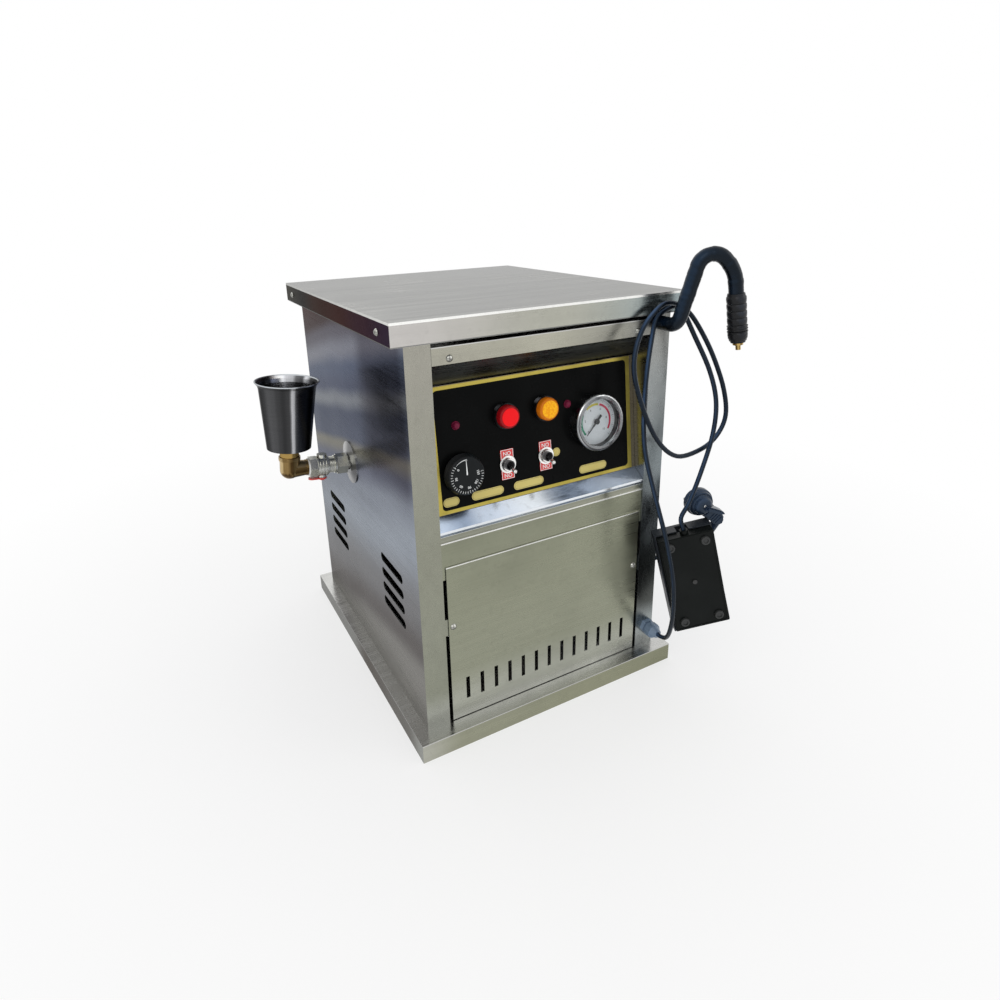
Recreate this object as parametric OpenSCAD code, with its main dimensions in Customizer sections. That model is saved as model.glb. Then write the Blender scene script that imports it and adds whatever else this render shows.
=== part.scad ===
// Bench steam cleaner: sheet-steel cabinet, boiler, water inlet, gooseneck nozzle and foot pedal.
// Millimetres, Z up. The origin is the centre of the base's underside, and the controls face -Y.

/* [Cabinet] */
// Width across the side panels
body_w = 348; // [320:1:380]
// Depth from the front posts to the rear panel
body_d = 402; // [370:1:440]
// Height from the table to the top of the lid
total_h = 520; // [505:1:560]
// Thickness of the cabinet's steel sheet
sheet = 1.5; // [1:0.1:2]
// Width of each front post
post_w = 29.5; // [26:0.5:34]
// How far each post folds back into the cabinet
post_return = 42; // [38:1:50]
// Running gap between sheets that only meet
sheet_gap = 0.3; // [0.2:0.05:0.4]

/* [Base] */
// How far the base stands out at each side of the cabinet
base_side = 16; // [10:1:22]
// How far the base stands out at the front and at the back
base_end = 20; // [14:1:26]
// Height of the base
base_h = 24.5; // [20:0.5:30]
// Width of the flange that the base rests on
base_flange = 18; // [12:1:26]
// Width of each stiffening rail under the base
rail_w = 40; // [30:1:50]

/* [Lid] */
// How far the lid stands out at each side
lid_side = 16; // [14:1:22]
// How far the lid stands out at the front
lid_front = 8; // [6:0.5:12]
// How far the lid stands out at the back
lid_back = 16; // [10:1:22]
// Height of the lid's lips
lid_h = 25; // [22:0.5:30]
// Height of the ledge on each side panel that the lid is screwed to
ledge_h = 14; // [10:0.5:18]

/* [Front] */
// Height of the strip above the controls
header_h = 19; // [14:0.5:24]
// Shadow gap between the lid's lip and the strip
header_drop = 6; // [3:0.5:8]
// Length of the control panel up its slope
panel_l = 147; // [142:0.5:155]
// Lean of the control panel from upright, in degrees
panel_tilt = 5.9; // [2:0.1:8]
// How far back the control panel's foot is
panel_back = 17; // [16:0.5:24]
// Height of the control panel's foot above the table
panel_z = 293; // [285:1:300]
// Fall of the bevel under the control panel
bevel_drop = 12; // [8:0.5:16]
// Height of the console's lip that shows under the bevel
lip_h = 14; // [8:0.5:18]
// Height of the apron that shows above the door
apron_h = 30.5; // [20:0.5:40]
// Hidden overlap of the console over the apron, and of the apron behind the door
overlap = 16; // [8:1:24]
// Gap between the door and each post
door_gap = 4.5; // [3:0.5:8]
// Gap between the door and the base
door_foot = 1; // [0.5:0.5:3]
// Height of the door screws above the table
door_screw_z = 157.5; // [120:0.5:200]
// Distance of the door screws from the cabinet's middle
door_screw_x = 134; // [120:0.5:135]
// Distance of the header screws from the cabinet's middle
header_screw_x = 124; // [100:0.5:130]

/* [Vents] */
// Number of upright slots in the door
door_vents = 13; // [7:2:13]
// Spacing of the door slots
door_vent_pitch = 19.7; // [14:0.1:20]
// Width of a door slot
door_vent_w = 5; // [3:0.5:7]
// Height of a door slot
door_vent_h = 30.5; // [20:0.5:40]
// Height of the foot of the door slots above the table
door_vent_z = 50; // [40:1:70]
// Number of long slots in each group on the side panels
side_vents = 4; // [2:1:5]
// Spacing of the side slots
side_vent_pitch = 21; // [16:0.5:22]
// Width of a side slot
side_vent_w = 12; // [6:0.5:14]
// Length of a side slot
side_vent_l = 73; // [50:1:90]
// Height of the middle of each group of side slots
side_vent_z = 172; // [140:1:190]
// Distance of each group from the middle of the side
side_vent_y = 113; // [90:1:120]

/* [Screws] */
// Diameter of a cabinet screw's head
screw_head_d = 8; // [6:0.5:9]
// Height of a cabinet screw's head
screw_head_h = 2.6; // [2:0.1:4]
// Diameter of a cabinet screw's thread
screw_d = 4; // [3:0.5:5]
// Length of a cabinet screw's thread
screw_l = 9; // [6:1:12]

/* [Control film] */
// Half the width of the printed film
film_half = 138.3; // [134:0.1:142]
// Thickness of the film
film_t = 0.5; // [0.3:0.1:0.8]
// Width of the gold border
border_w = 6; // [4:0.5:8]
// Height of the row of lamps up the panel
lamp_s = 101.5; // [96:0.5:106]
// Height of the row of switches up the panel
switch_s = 43; // [40:0.5:48]
// Height of the row of labels up the panel
label_s = 13.8; // [10:0.1:16]
// Height of a label
label_h = 10.5; // [8:0.5:11]

/* [Lamps] */
// Diameter of the panel hole for a lamp
lamp_hole_d = 22.4; // [20:0.1:24]
// Diameter of a lamp's collar
lamp_collar_d = 30; // [28:0.5:34]
// Height of a lamp's collar
lamp_collar_h = 7; // [4:0.5:9]
// Diameter of a lamp's lens
lamp_lens_d = 26.6; // [24:0.1:27]
// Height of a lamp's lens above the panel
lamp_lens_h = 16.5; // [13:0.5:20]
// Depth of a lamp behind the panel
lamp_depth = 32; // [20:1:50]
// Diameter of a small indicator's lens
led_d = 10; // [6:0.5:12]
// Height of a small indicator above the panel
led_h = 4.5; // [3:0.5:8]

/* [Gauge] */
// Reach of the gauge's bezel past its case
bezel_over = 5.5; // [4.5:0.5:7]
// Diameter of the gauge's case behind the panel
gauge_case_d = 60; // [56:0.5:62]
// Height of the bezel above the panel
gauge_h = 17; // [13:0.5:20]
// Depth of the gauge's case behind the panel
gauge_depth = 26; // [20:1:34]
// Height of the gauge up the panel
gauge_s = 73; // [68:0.5:78]
// Distance of the gauge from the middle
gauge_x = 79.5; // [74:0.5:84]
// Width of the bezel's ring
bezel_ring = 6; // [4:0.5:7]
// Length of the needle from its centre to its tip
needle_l = 22; // [16:0.5:24]

/* [Thermostat] */
// Diameter of the knob
knob_d = 48; // [42:0.5:52]
// Height of the knob
knob_h = 12.5; // [10:0.5:16]
// Gap between the knob and the film
knob_gap = 2.5; // [1:0.5:4]
// Distance of the knob from the middle
knob_x = -105.5; // [-108:0.5:-100]
// Height of the knob up the panel
knob_s = 45; // [42:0.5:48]
// Diameter of the thermostat's shaft
shaft_d = 6; // [5:0.5:8]
// Radial clearance of shafts and pins in their holes
running = 0.05; // [0.02:0.01:0.08]

/* [Toggle switches] */
// Distance between the two toggle switches
toggle_pitch = 53; // [44:0.5:60]
// Distance of the first toggle switch from the middle
toggle_x = -46; // [-50:0.5:-42]
// Diameter of the switch's threaded bush
bush_d = 11.8; // [10:0.1:12.5]
// Diameter of the round nut on the bush
nut_d = 21; // [18:0.5:24]
// Width of the on and off plate
plate_w = 17; // [14:0.5:20]
// Height of the on and off plate
plate_h = 36; // [30:0.5:42]
// Length of a lever from its pivot to its tip
lever_l = 23; // [18:0.5:28]
// Angle of a lever from straight out, in degrees
lever_angle = 14; // [8:1:18]

/* [Gooseneck] */
// Diameter of the insulating sleeve
sleeve_d = 18.6; // [16:0.2:20]
// Diameter of the steam pipe
pipe_d = 8; // [6:0.5:10]
// Wall of the steam pipe
pipe_wall = 1; // [0.8:0.1:1.5]
// Diameter of the wrapped end
wrap_d = 23.4; // [21:0.2:26]
// Length of the wrapped end
wrap_l = 54; // [40:1:64]
// Length of the nozzle that shows
nozzle_l = 9; // [6:0.5:14]
// Diameter of the nozzle
nozzle_d = 6; // [5:0.5:7]
// Diameter of the nozzle's jet
jet_d = 1.6; // [1:0.1:3]
// Distance of the pipe from the inner edge of the post
outlet_in = 9.5; // [8:0.5:12]
// Depth of the pipe below the top of the lid
outlet_drop = 36; // [35:0.5:42]

/* [Water inlet] */
// Height of the inlet above the table
inlet_z = 298; // [270:1:330]
// Distance of the inlet behind the middle
inlet_y = 21; // [0:1:40]
// Rise of the inlet line, in degrees
inlet_lean = 5; // [0:0.5:5]
// Distance of the cup's axis from the side panel
cup_out = 81; // [76:1:95]
// Outer diameter of the cup's rim
cup_rim_d = 79; // [74:1:90]
// Outer diameter of the cup under its rim
cup_top_d = 70; // [64:1:72]
// Outer diameter of the cup's foot
cup_foot_d = 55; // [46:1:60]
// Height of the cup
cup_h = 92; // [80:1:110]
// Wall of the cup
cup_wall = 1.2; // [1:0.1:2]
// Diameter of the elbow's body
elbow_d = 25; // [22:0.5:28]
// Bore of the inlet line
inlet_bore = 10; // [8:0.5:12]
// Diameter of the wall flange
flange_d = 58; // [44:1:60]

/* [Foot pedal] */
// Width of the pedal
pedal_w = 75; // [70:1:80]
// Length of the pedal
pedal_l = 140; // [132:1:146]
// Height of the pedal at the cord end
pedal_h = 32; // [30:0.5:34]
// Height of the pedal at the toe
pedal_toe_h = 24; // [23:0.5:27]
// Wall of the pedal's sheet
pedal_wall = 1.5; // [1.2:0.1:2]
// Diameter of the hinge pin
pedal_pin_d = 6; // [5:0.5:7]
// Diameter of a foot
foot_d = 12; // [9:0.5:14]
// Height of a foot
foot_h = 3.5; // [2:0.5:5]

/* [Cords] */
// Diameter of the pedal's cord
cord_d = 6; // [5:0.2:6.4]
// Diameter of the mains lead
lead_d = 7; // [6:0.2:7.4]
// Diameter of the plug
plug_d = 38; // [34:0.5:40]
// Loops of the mains lead's coil
coil_loops = 3.5; // [2.5:1:4.5]
// Radius of the coil
coil_rad = 39; // [36:1:42]
// Rise of the coil in one loop
coil_pitch = 7.6; // [7.5:0.1:8.5]

/* [Boiler] */
// Diameter of the boiler
boiler_d = 210; // [180:1:230]
// Length of the boiler's straight shell
boiler_l = 230; // [200:1:250]
// Rise of each domed end
dome_h = 26; // [16:1:32]
// Wall of the boiler
boiler_wall = 3; // [2:0.5:4]
// Height of the boiler's axis above the base
boiler_z = 150; // [130:1:160]
// Distance of the boiler's axis from the middle
boiler_x = 10; // [-10:1:20]
// Distance of the boiler's middle behind the cabinet's middle
boiler_y = 22; // [10:1:30]

/* [Hidden] */
$fn = 48;
eps = 0.01;

// Cabinet planes
side_x = body_w / 2;
front_y = -body_d / 2;
back_y = body_d / 2;
lid_under = total_h - sheet;
lid_foot = total_h - lid_h;
opening_half = side_x - post_w;
base_w = body_w + 2 * base_side;
base_d = body_d + 2 * base_end;
lid_w = body_w + 2 * lid_side;
lid_d = body_d + lid_front + lid_back;
lid_mid_y = (lid_back - lid_front) / 2;
ledge_z = lid_foot + 4;
header_top = lid_foot - header_drop;
header_foot = header_top - header_h;

// Front stack: the door is flush with the posts, then the apron, then the console's lip
door_top = panel_z - bevel_drop - lip_h - apron_h;
apron_top = panel_z - bevel_drop - lip_h;
door_half = opening_half - door_gap;
apron_y = front_y + sheet + sheet_gap;
lip_y = apron_y + sheet;
panel_y = front_y + panel_back;
panel_top_y = panel_y + panel_l * sin(panel_tilt);
panel_top_z = panel_z + panel_l * cos(panel_tilt);

// Places of the instruments across the panel
lamp_xs = [-46, 7.5];
led_xs = [-108, 42];
toggle_xs = [toggle_x, toggle_x + toggle_pitch];
film_edge = 0.6;
print_t = 0.15;
label_ends = [
  [-131, -111, label_s], [-95, -53, label_s], [-39, 2.5, label_s],
  [17.8, 28, switch_s + 1], [55.5, 97.5, label_s]
];
needle_rest = 135;
gauge_stem = 44;
bush_l = 8.5;
lever_pivot = -2;

// Screw rows
lid_screw_ys = [-172, 183];
rear_screw_zs = [60, 250, 440];

// Steam outlet: the route of the gooseneck from inside the post to its free end
outlet_x = opening_half + outlet_in;
outlet_z = total_h - outlet_drop;
neck_foot = [outlet_x + 61.4, front_y - 69.2, outlet_z - 20.4];
neck_route = [
  [outlet_x, front_y + 21, outlet_z],
  [outlet_x, front_y - 33, outlet_z],
  [outlet_x + 22, front_y - 47.8, outlet_z + 98.6],
  [outlet_x + 52.2, front_y - 64.3, outlet_z + 61.7],
  neck_foot
];
neck_bends = [13, 18, 45];
neck_dir = (neck_foot - neck_route[3]) / norm(neck_foot - neck_route[3]);

// Valve and elbow along the inlet line
hex_flats = 24;
nipple_in = 30;
ball_x = 39.5;
stem_drop = 15;
lever_reach = 18;
valve_end = 56.5;
elbow_top = 18;

// Pedal as it hangs off the front right corner: its middle, and its width, length and height directions
hung = [side_x - 174, front_y + 201, 0];
pedal_at = hung + [188, -261, 147];
pedal_y = [-0.1765, 0.148, 0.973] / norm([-0.1765, 0.148, 0.973]);
pedal_up = [0.464, 0.884, -0.051];
pedal_z = (pedal_up - (pedal_up * pedal_y) * pedal_y) / norm(pedal_up - (pedal_up * pedal_y) * pedal_y);
pedal_x = cross(pedal_y, pedal_z);
pedal_side = 14;
pedal_hinge = 60;
hinge_z = 10;
cord_entry = 8;
switch_rod = 14;

// Pedal's cord, from the gland in the post to the boss on the pedal
gland_in = 11;
gland_x = side_x - gland_in;
gland_z = 53;
gland_l = 25;
pedal_route = [
  [gland_x, front_y - gland_l, gland_z], [gland_x, front_y - gland_l - 6, gland_z],
  for (p = [[161, -244, 60], [156, -255, 80], [150, -264, 115],
    [143, -267, 165], [135, -258, 222], [127, -245, 273], [119, -230, 333], [121, -222, 382],
    [127, -217, 430], [136, -213, 472], [141, -213, 491], [153, -213, 499], [171, -213, 503],
    [190, -216, 493], [208, -223, 466], [225, -229, 433], [239, -235, 394], [243, -238, 360],
    [230, -238, 335], [204, -237, 321], [165, -236, 320], [132, -235, 348], [106, -233, 398],
    [96, -229, 443], [110, -223, 480], [136, -220, 504], [155, -220, 509], [172, -221, 500],
    [189, -228, 467], [207, -239, 424], [215, -246, 385], [212, -248, 344], [199, -247, 298],
    [185, -244, 256]]) p + hung,
  pedal_at + pedal_y * (pedal_l / 2 + 20) + pedal_z * cord_entry,
  pedal_at + pedal_y * (pedal_l / 2 + 3) + pedal_z * cord_entry
];

// Mains lead: rear gland, coil on the table behind the cabinet, and the run to the plug
mains_x = 91;
mains_z = 86;
mains_relief = 31;
coil_at = [side_x - 44, back_y + 94];
coil_z0 = lead_d / 2;
coil_steps = 24;
coil_turns = [for (i = [0:coil_loops * coil_steps]) let (a = 360 * i / coil_steps)
  [coil_at[0] + coil_rad * cos(a), coil_at[1] + coil_rad * sin(a), coil_z0 + coil_pitch * i / coil_steps]];
coil_gap = min([for (i = [0:len(coil_turns) - 1]) for (j = [i + coil_steps / 2:len(coil_turns) - 1])
  norm(coil_turns[i] - coil_turns[j])]) - lead_d;
echo(coil_least_gap_mm = coil_gap);
coil_end = [coil_at[0] - coil_rad, coil_at[1], coil_z0 + coil_loops * coil_pitch];
rear_route = [
  [mains_x, back_y + mains_relief, mains_z],
  [mains_x, back_y + mains_relief + 8, mains_z],
  [mains_x, back_y + 57, 76],
  [mains_x, back_y + 65, 56],
  [mains_x, back_y + 72, 38],
  coil_end - [0, lead_d + 7, 0],
  coil_end - [0, lead_d, 0]
];
plug_at = hung + [216.8, -231.5, 241.6];
plug_w = [-0.291, -0.956, -0.046] / norm([-0.291, -0.956, -0.046]);
plug_down = [0.695, -0.178, -0.696];
plug_u = (plug_down - (plug_down * plug_w) * plug_w) / norm(plug_down - (plug_down * plug_w) * plug_w);
plug_v = cross(plug_w, plug_u);
plug_exit = hung + [239.6, -242.5, 217];
lead_dir = [-0.06, 0.34, -0.94] / norm([-0.06, 0.34, -0.94]);
lead_top = plug_exit + lead_dir * 22;
front_route = [
  lead_top, lead_top + lead_dir * 7,
  for (p = [[232, -200, 158], [228, -172, 134], [221, -140, 110], [214, -102, 80], [208, -60, 45],
    [204, -22, 20], [202, 20, 7], [201, 70, 4], [200, 130, 3.7]]) p + hung,
  [side_x + 24, back_y - 11, 3.7], [side_x + 15, back_y + 39, 3.6],
  [coil_at[0] + coil_rad, coil_at[1] - lead_d - 8, coil_z0],
  [coil_at[0] + coil_rad, coil_at[1] - lead_d, coil_z0]
];

// Boiler fittings: bosses as [x, y, top], the heater's flange and the solenoid valve
boss_points = [[-30, 120, 288], [10, 100, 292], [-40, inlet_y, 278], [79.5, -40, 268]];
heater_y = -127;
heater_z = base_h + boiler_z - 45;
valve_drop = 90;
valve_at = [outlet_x - 29, -110, total_h - valve_drop];
heater_l = boiler_l - 60;
steam_in_route = [
  boss_points[1], [boss_points[1][0], boss_points[1][1], valve_at[2]],
  [valve_at[0], boss_points[1][1], valve_at[2]], valve_at + [0, 20, 0]
];
steam_out_route = [
  valve_at - [0, 20, 0], valve_at - [0, 36, 0],
  [outlet_x, valve_at[1] - 36, outlet_z], neck_route[0]
];
fill_route = [
  [-side_x + nipple_in * cos(inlet_lean), inlet_y, inlet_z - nipple_in * sin(inlet_lean)],
  [boss_points[2][0], inlet_y, inlet_z - (side_x + boss_points[2][0]) * tan(inlet_lean)],
  boss_points[2]
];
gauge_route = [
  [gauge_x, panel_y + gauge_s * sin(panel_tilt) + gauge_stem * cos(panel_tilt),
    panel_z + gauge_s * cos(panel_tilt) - gauge_stem * sin(panel_tilt)],
  [gauge_x, boss_points[3][1], panel_z + gauge_s * cos(panel_tilt) - gauge_stem * sin(panel_tilt)
    - (boss_points[3][1] - panel_y - gauge_s * sin(panel_tilt) - gauge_stem * cos(panel_tilt)) * tan(panel_tilt)],
  [gauge_x, boss_points[3][1], boss_points[3][2]]
];

// Boiler
boiler_cz = base_h + boiler_z;

// ---------------------------------------------------------------- small tools

function unit(v) = v / norm(v);
function turn(a, b, c) = acos(max(-1, min(1, unit(b - a) * unit(c - b))));

// Any unit vector square to d
function square_to(d) = unit(cross(d, abs(d[2]) < 0.9 ? [0, 0, 1] : [1, 0, 0]));

// Matrix that carries X, Y and Z to e1, e2 and e3 and the origin to c
function placed(e1, e2, e3, c) = [
  [e1[0], e2[0], e3[0], c[0]],
  [e1[1], e2[1], e3[1], c[1]],
  [e1[2], e2[2], e3[2], c[2]],
  [0, 0, 0, 1]
];

// Stands its children on point p with their Z along direction d
module aim(p, d) {
  w = unit(d);
  u = square_to(w);
  multmatrix(placed(u, cross(w, u), w, p)) children();
}

module rod(a, b, r) {
  aim(a, b - a) cylinder(h = norm(b - a), r = r);
}

// Points along the straight legs of a route, with a round bend of k steps at each inner corner
function bend_arc(a, b, c, r, k) =
  let (u = unit(b - a), v = unit(c - b), w = unit(cross(u, v)), t = turn(a, b, c),
    s = b - u * r * tan(t / 2), m = s + cross(w, u) * r)
  [for (i = [0:k]) m + r * (u * sin(t * i / k) - cross(w, u) * cos(t * i / k))];
function bent_path(route, bends, k) = let (n = len(route) - 1) concat([route[0]],
  [for (i = [1:n - 1]) each bend_arc(route[i - 1], route[i], route[i + 1], bends[i - 1], k)],
  [route[n]]);

// Sheet cross-section along a line of corners, t thick to the left of the line
function side_step(p, i) =
  let (n = len(p) - 1,
    a = i == 0 ? unit(p[1] - p[0]) : unit(p[i] - p[i - 1]),
    b = i == n ? unit(p[n] - p[n - 1]) : unit(p[i + 1] - p[i]),
    na = [-a[1], a[0]],
    nb = [-b[1], b[0]],
    m = unit(na + nb))
  m / (m * na);
module folded(p, t) {
  n = len(p) - 1;
  inner = [for (i = [n:-1:0]) p[i] + side_step(p, i) * t];
  polygon(concat(p, inner));
}

// Extrudes a (y, z) outline across the cabinet, half to each side
module across(half) {
  rotate([90, 0, 90]) translate([0, 0, -half]) linear_extrude(height = 2 * half) children();
}

module box(x0, x1, y0, y1, z0, z1) {
  translate([x0, y0, z0]) cube([x1 - x0, y1 - y0, z1 - z0]);
}

// Rounded-end slot outline, l long and w wide, along X
module slot_shape(l, w) {
  square([l - w, w], center = true);
  for (s = [-1, 1]) translate([s * (l - w) / 2, 0]) circle(d = w);
}

// Swept tube: rings of corners carried along the route's points without twisting
function run_dirs(p) = [for (i = [0:len(p) - 1])
  unit(p[min(i + 1, len(p) - 1)] - p[max(i - 1, 0)])];
function carried(t) = [for (i = 0, v = square_to(t[0]); i < len(t);
  v = i + 1 < len(t) ? unit(v - (v * t[i + 1]) * t[i + 1]) : v, i = i + 1) v];
module swept(p, d, sides) {
  t = run_dirs(p);
  v = carried(t);
  n = len(p);
  points = [for (i = [0:n - 1]) for (j = [0:sides - 1])
    let (a = 360 * j / sides) p[i] + d / 2 * (cos(a) * v[i] + sin(a) * cross(t[i], v[i]))];
  walls = [for (i = [0:n - 2]) for (j = [0:sides - 1])
    let (k = (j + 1) % sides, a = i * sides + j, b = i * sides + k)
    each [[a, a + sides, b + sides], [a, b + sides, b]]];
  foot = [for (j = [1:sides - 2]) [0, j, j + 1]];
  top = [for (j = [1:sides - 2]) let (q = (n - 1) * sides) [q, q + j + 1, q + j]];
  polyhedron(points = points, faces = concat(walls, foot, top), convexity = 10);
}

// The same with a bore through it
module swept_tube(p, d, bore, sides) {
  t = run_dirs(p);
  v = carried(t);
  n = len(p);
  m = 2 * sides;
  points = [for (i = [0:n - 1]) for (r = [d / 2, bore / 2]) for (j = [0:sides - 1])
    let (a = 360 * j / sides) p[i] + r * (cos(a) * v[i] + sin(a) * cross(t[i], v[i]))];
  walls = [for (i = [0:n - 2]) for (j = [0:sides - 1])
    let (k = (j + 1) % sides, a = i * m + j, b = i * m + k, c = a + sides, e = b + sides)
    each [[a, a + m, b + m], [a, b + m, b], [c, e + m, c + m], [c, e, e + m]]];
  foot = [for (j = [0:sides - 1]) let (k = (j + 1) % sides)
    each [[j, k, k + sides], [j, k + sides, j + sides]]];
  top = [for (j = [0:sides - 1]) let (k = (j + 1) % sides, q = (n - 1) * m)
    each [[q + j, q + j + sides, q + k + sides], [q + j, q + k + sides, q + k]]];
  polyhedron(points = points, faces = concat(walls, foot, top), convexity = 10);
}

// ---------------------------------------------------------------- cabinet

// Folded base with its resting flange, and closed rails welded under the top sheet
module base_tray() {
  color("silver") {
    difference() {
      box(-base_w / 2, base_w / 2, -base_d / 2, base_d / 2, 0, base_h);
      box(-base_w / 2 + sheet, base_w / 2 - sheet, -base_d / 2 + sheet, base_d / 2 - sheet,
        sheet, base_h - sheet);
      box(-base_w / 2 + base_flange, base_w / 2 - base_flange, -base_d / 2 + base_flange,
        base_d / 2 - base_flange, -1, 2 * sheet);
    }
    for (y = [-1, 0, 1] * (base_d / 2 - base_flange - 1.5 * rail_w)) difference() {
      box(-base_w / 2 + sheet - eps, base_w / 2 - sheet + eps, y - rail_w / 2, y + rail_w / 2,
        0, base_h - sheet + eps);
      box(-base_w / 2, base_w / 2, y - rail_w / 2 + sheet, y + rail_w / 2 - sheet, sheet,
        base_h - sheet - 0.5);
    }
  }
}

// Plan outline of a right-hand side panel: post return, post, side and rear flange
module side_plan() {
  folded([
    [opening_half, front_y + post_return],
    [opening_half, front_y],
    [side_x, front_y],
    [side_x, back_y - sheet],
    [side_x - 18, back_y - sheet]
  ], sheet);
}

module side_vent_cuts() {
  for (g = [-1, 1]) for (i = [0:side_vents - 1]) {
    z = side_vent_z + (i - (side_vents - 1) / 2) * side_vent_pitch;
    translate([side_x - sheet - 1, g * side_vent_y, z]) rotate([90, 0, 90])
      linear_extrude(height = sheet + 2) slot_shape(side_vent_l, side_vent_w);
  }
}

// One side panel with its post, foot flange and the outward ledge that carries the lid's lip
module side_panel() {
  difference() {
    union() {
      translate([0, 0, base_h]) linear_extrude(height = lid_under - base_h) side_plan();
      box(side_x - 16, side_x - sheet, front_y + post_return + 10, back_y - 22, base_h, base_h + sheet);
      box(side_x - eps, side_x + lid_side - sheet, front_y + 20, back_y - 10, ledge_z, ledge_z + sheet);
      box(side_x + lid_side - 2 * sheet, side_x + lid_side - sheet, front_y + 20, back_y - 10,
        ledge_z, ledge_z + ledge_h);
      box(door_screw_x - 8, opening_half + eps, front_y + sheet, front_y + 2 * sheet,
        door_screw_z - 11, door_screw_z + 11);
    }
    side_vent_cuts();
    at_lid_screws() screw_hole();
    at_door_screws() screw_hole();
    at_rear_screws() screw_hole();
  }
}

module left_side_panel() {
  color("lightsteelblue") difference() {
    mirror([1, 0, 0]) side_panel();
    translate([-side_x - 1, inlet_y, inlet_z]) rotate([0, 90, 0]) cylinder(h = sheet + 2, d = 22);
  }
}

module right_side_panel() {
  color("lightsteelblue") difference() {
    side_panel();
    translate([outlet_x, front_y - 1, total_h - outlet_drop]) rotate([-90, 0, 0])
      cylinder(h = sheet + 2, d = 13);
    translate([gland_x, front_y - 1, gland_z]) rotate([-90, 0, 0]) cylinder(h = sheet + 2, d = 12.4);
  }
}

module rear_panel() {
  color("silver") difference() {
    box(-side_x, side_x, back_y - sheet, back_y, base_h, lid_under);
    at_rear_screws() screw_hole();
    translate([mains_x, back_y - sheet - 1, mains_z]) rotate([-90, 0, 0])
      cylinder(h = sheet + 2, d = 16.4);
    for (i = [0:4]) translate([0, back_y + 1, 400 + i * 14]) rotate([90, 0, 0])
      linear_extrude(height = sheet + 2) slot_shape(120, 6);
  }
}

module top_lid() {
  color("gainsboro") difference() {
    translate([0, lid_mid_y, 0])
      box(-lid_w / 2, lid_w / 2, -lid_d / 2, lid_d / 2, lid_foot, total_h);
    translate([0, lid_mid_y, 0])
      box(-lid_w / 2 + sheet, lid_w / 2 - sheet, -lid_d / 2 + sheet, lid_d / 2 - sheet,
        lid_foot - 1, lid_under);
    at_lid_screws() screw_hole();
  }
}

// Strip over the controls, with its top flange and the soffit that slopes back to the panel
module front_header() {
  color("silver") difference() {
    across(opening_half - sheet_gap) folded([
      [front_y + 16, header_top],
      [front_y, header_top],
      [front_y, header_foot],
      [panel_top_y, panel_top_z + sheet]
    ], sheet);
    at_header_screws() screw_hole();
  }
}

// Sloping control sheet, bevel and lip in one fold, with the holes for the instruments
module control_console() {
  color("silver") difference() {
    across(opening_half - sheet_gap) folded([
      [panel_top_y, panel_top_z],
      [panel_y, panel_z],
      [front_y + 0.8, panel_z - bevel_drop],
      [front_y + 0.8, panel_z - bevel_drop - 3],
      [lip_y, panel_z - bevel_drop - 7],
      [lip_y, apron_top - overlap]
    ], sheet);
    on_panel(0, 0, -2 * sheet) linear_extrude(height = 3 * sheet) instrument_holes();
  }
}

// Children stand on the control panel: X across, Y up its slope, Z out of it
module on_panel(x, s, h) {
  translate([0, panel_y, panel_z]) rotate([90 - panel_tilt, 0, 0]) translate([x, s, h]) children();
}

module instrument_holes() {
  for (x = lamp_xs) translate([x, lamp_s]) circle(d = lamp_hole_d);
  for (x = led_xs) translate([x, lamp_s - 1]) circle(d = led_d - 2);
  for (x = toggle_xs) translate([x, switch_s]) circle(d = bush_d + 0.4);
  translate([gauge_x, gauge_s]) circle(d = gauge_case_d + 1);
  translate([knob_x, knob_s]) circle(d = shaft_d + 5);
}

module front_apron() {
  half = opening_half - sheet_gap;
  color("lightgray") box(-half, half, apron_y, apron_y + sheet, door_top - overlap, apron_top);
}

module lower_door() {
  span = (door_vents - 1) * door_vent_pitch;
  color("lightgray") difference() {
    union() {
      box(-door_half, door_half, front_y, front_y + sheet, base_h + door_foot, door_top);
      for (s = [-1, 1]) box(s * (door_half - sheet / 2) - sheet / 2, s * (door_half - sheet / 2) + sheet / 2,
        front_y, front_y + 14, base_h + door_foot, door_top - overlap - 2);
    }
    box(-side_x, side_x, front_y + sheet, front_y + 20, door_screw_z - 14, door_screw_z + 14);
    for (i = [0:door_vents - 1])
      box(-span / 2 + i * door_vent_pitch - door_vent_w / 2, -span / 2 + i * door_vent_pitch + door_vent_w / 2,
        front_y - 1, front_y + sheet + 1, door_vent_z, door_vent_z + door_vent_h);
    at_door_screws() screw_hole();
  }
}

// Round-head screw that stands on the outside of a sheet, its thread pointing along -Z
module cabinet_screw() {
  dome_r = (pow(screw_head_d / 2, 2) + pow(screw_head_h, 2)) / (2 * screw_head_h);
  intersection() {
    translate([0, 0, screw_head_h - dome_r]) sphere(r = dome_r);
    cylinder(h = screw_head_h, d = screw_head_d);
  }
  translate([0, 0, -screw_l]) cylinder(h = screw_l + 0.5, d = screw_d);
}

module screw_hole() {
  translate([0, 0, -6]) cylinder(h = 12, d = screw_d + 0.3);
}

module at_lid_screws() {
  for (s = [-1, 1]) for (y = lid_screw_ys)
    translate([s * lid_w / 2, y, total_h - 14]) rotate([0, s * 90, 0]) children();
}

module at_header_screws() {
  for (s = [-1, 1]) translate([s * header_screw_x, front_y, header_foot + 6]) rotate([90, 0, 0]) children();
}

module at_door_screws() {
  for (s = [-1, 1]) translate([s * door_screw_x, front_y, door_screw_z]) rotate([90, 0, 0]) children();
}

module at_rear_screws() {
  for (s = [-1, 1]) for (z = rear_screw_zs)
    translate([s * (side_x - 10), back_y, z]) rotate([-90, 0, 0]) children();
}

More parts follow.
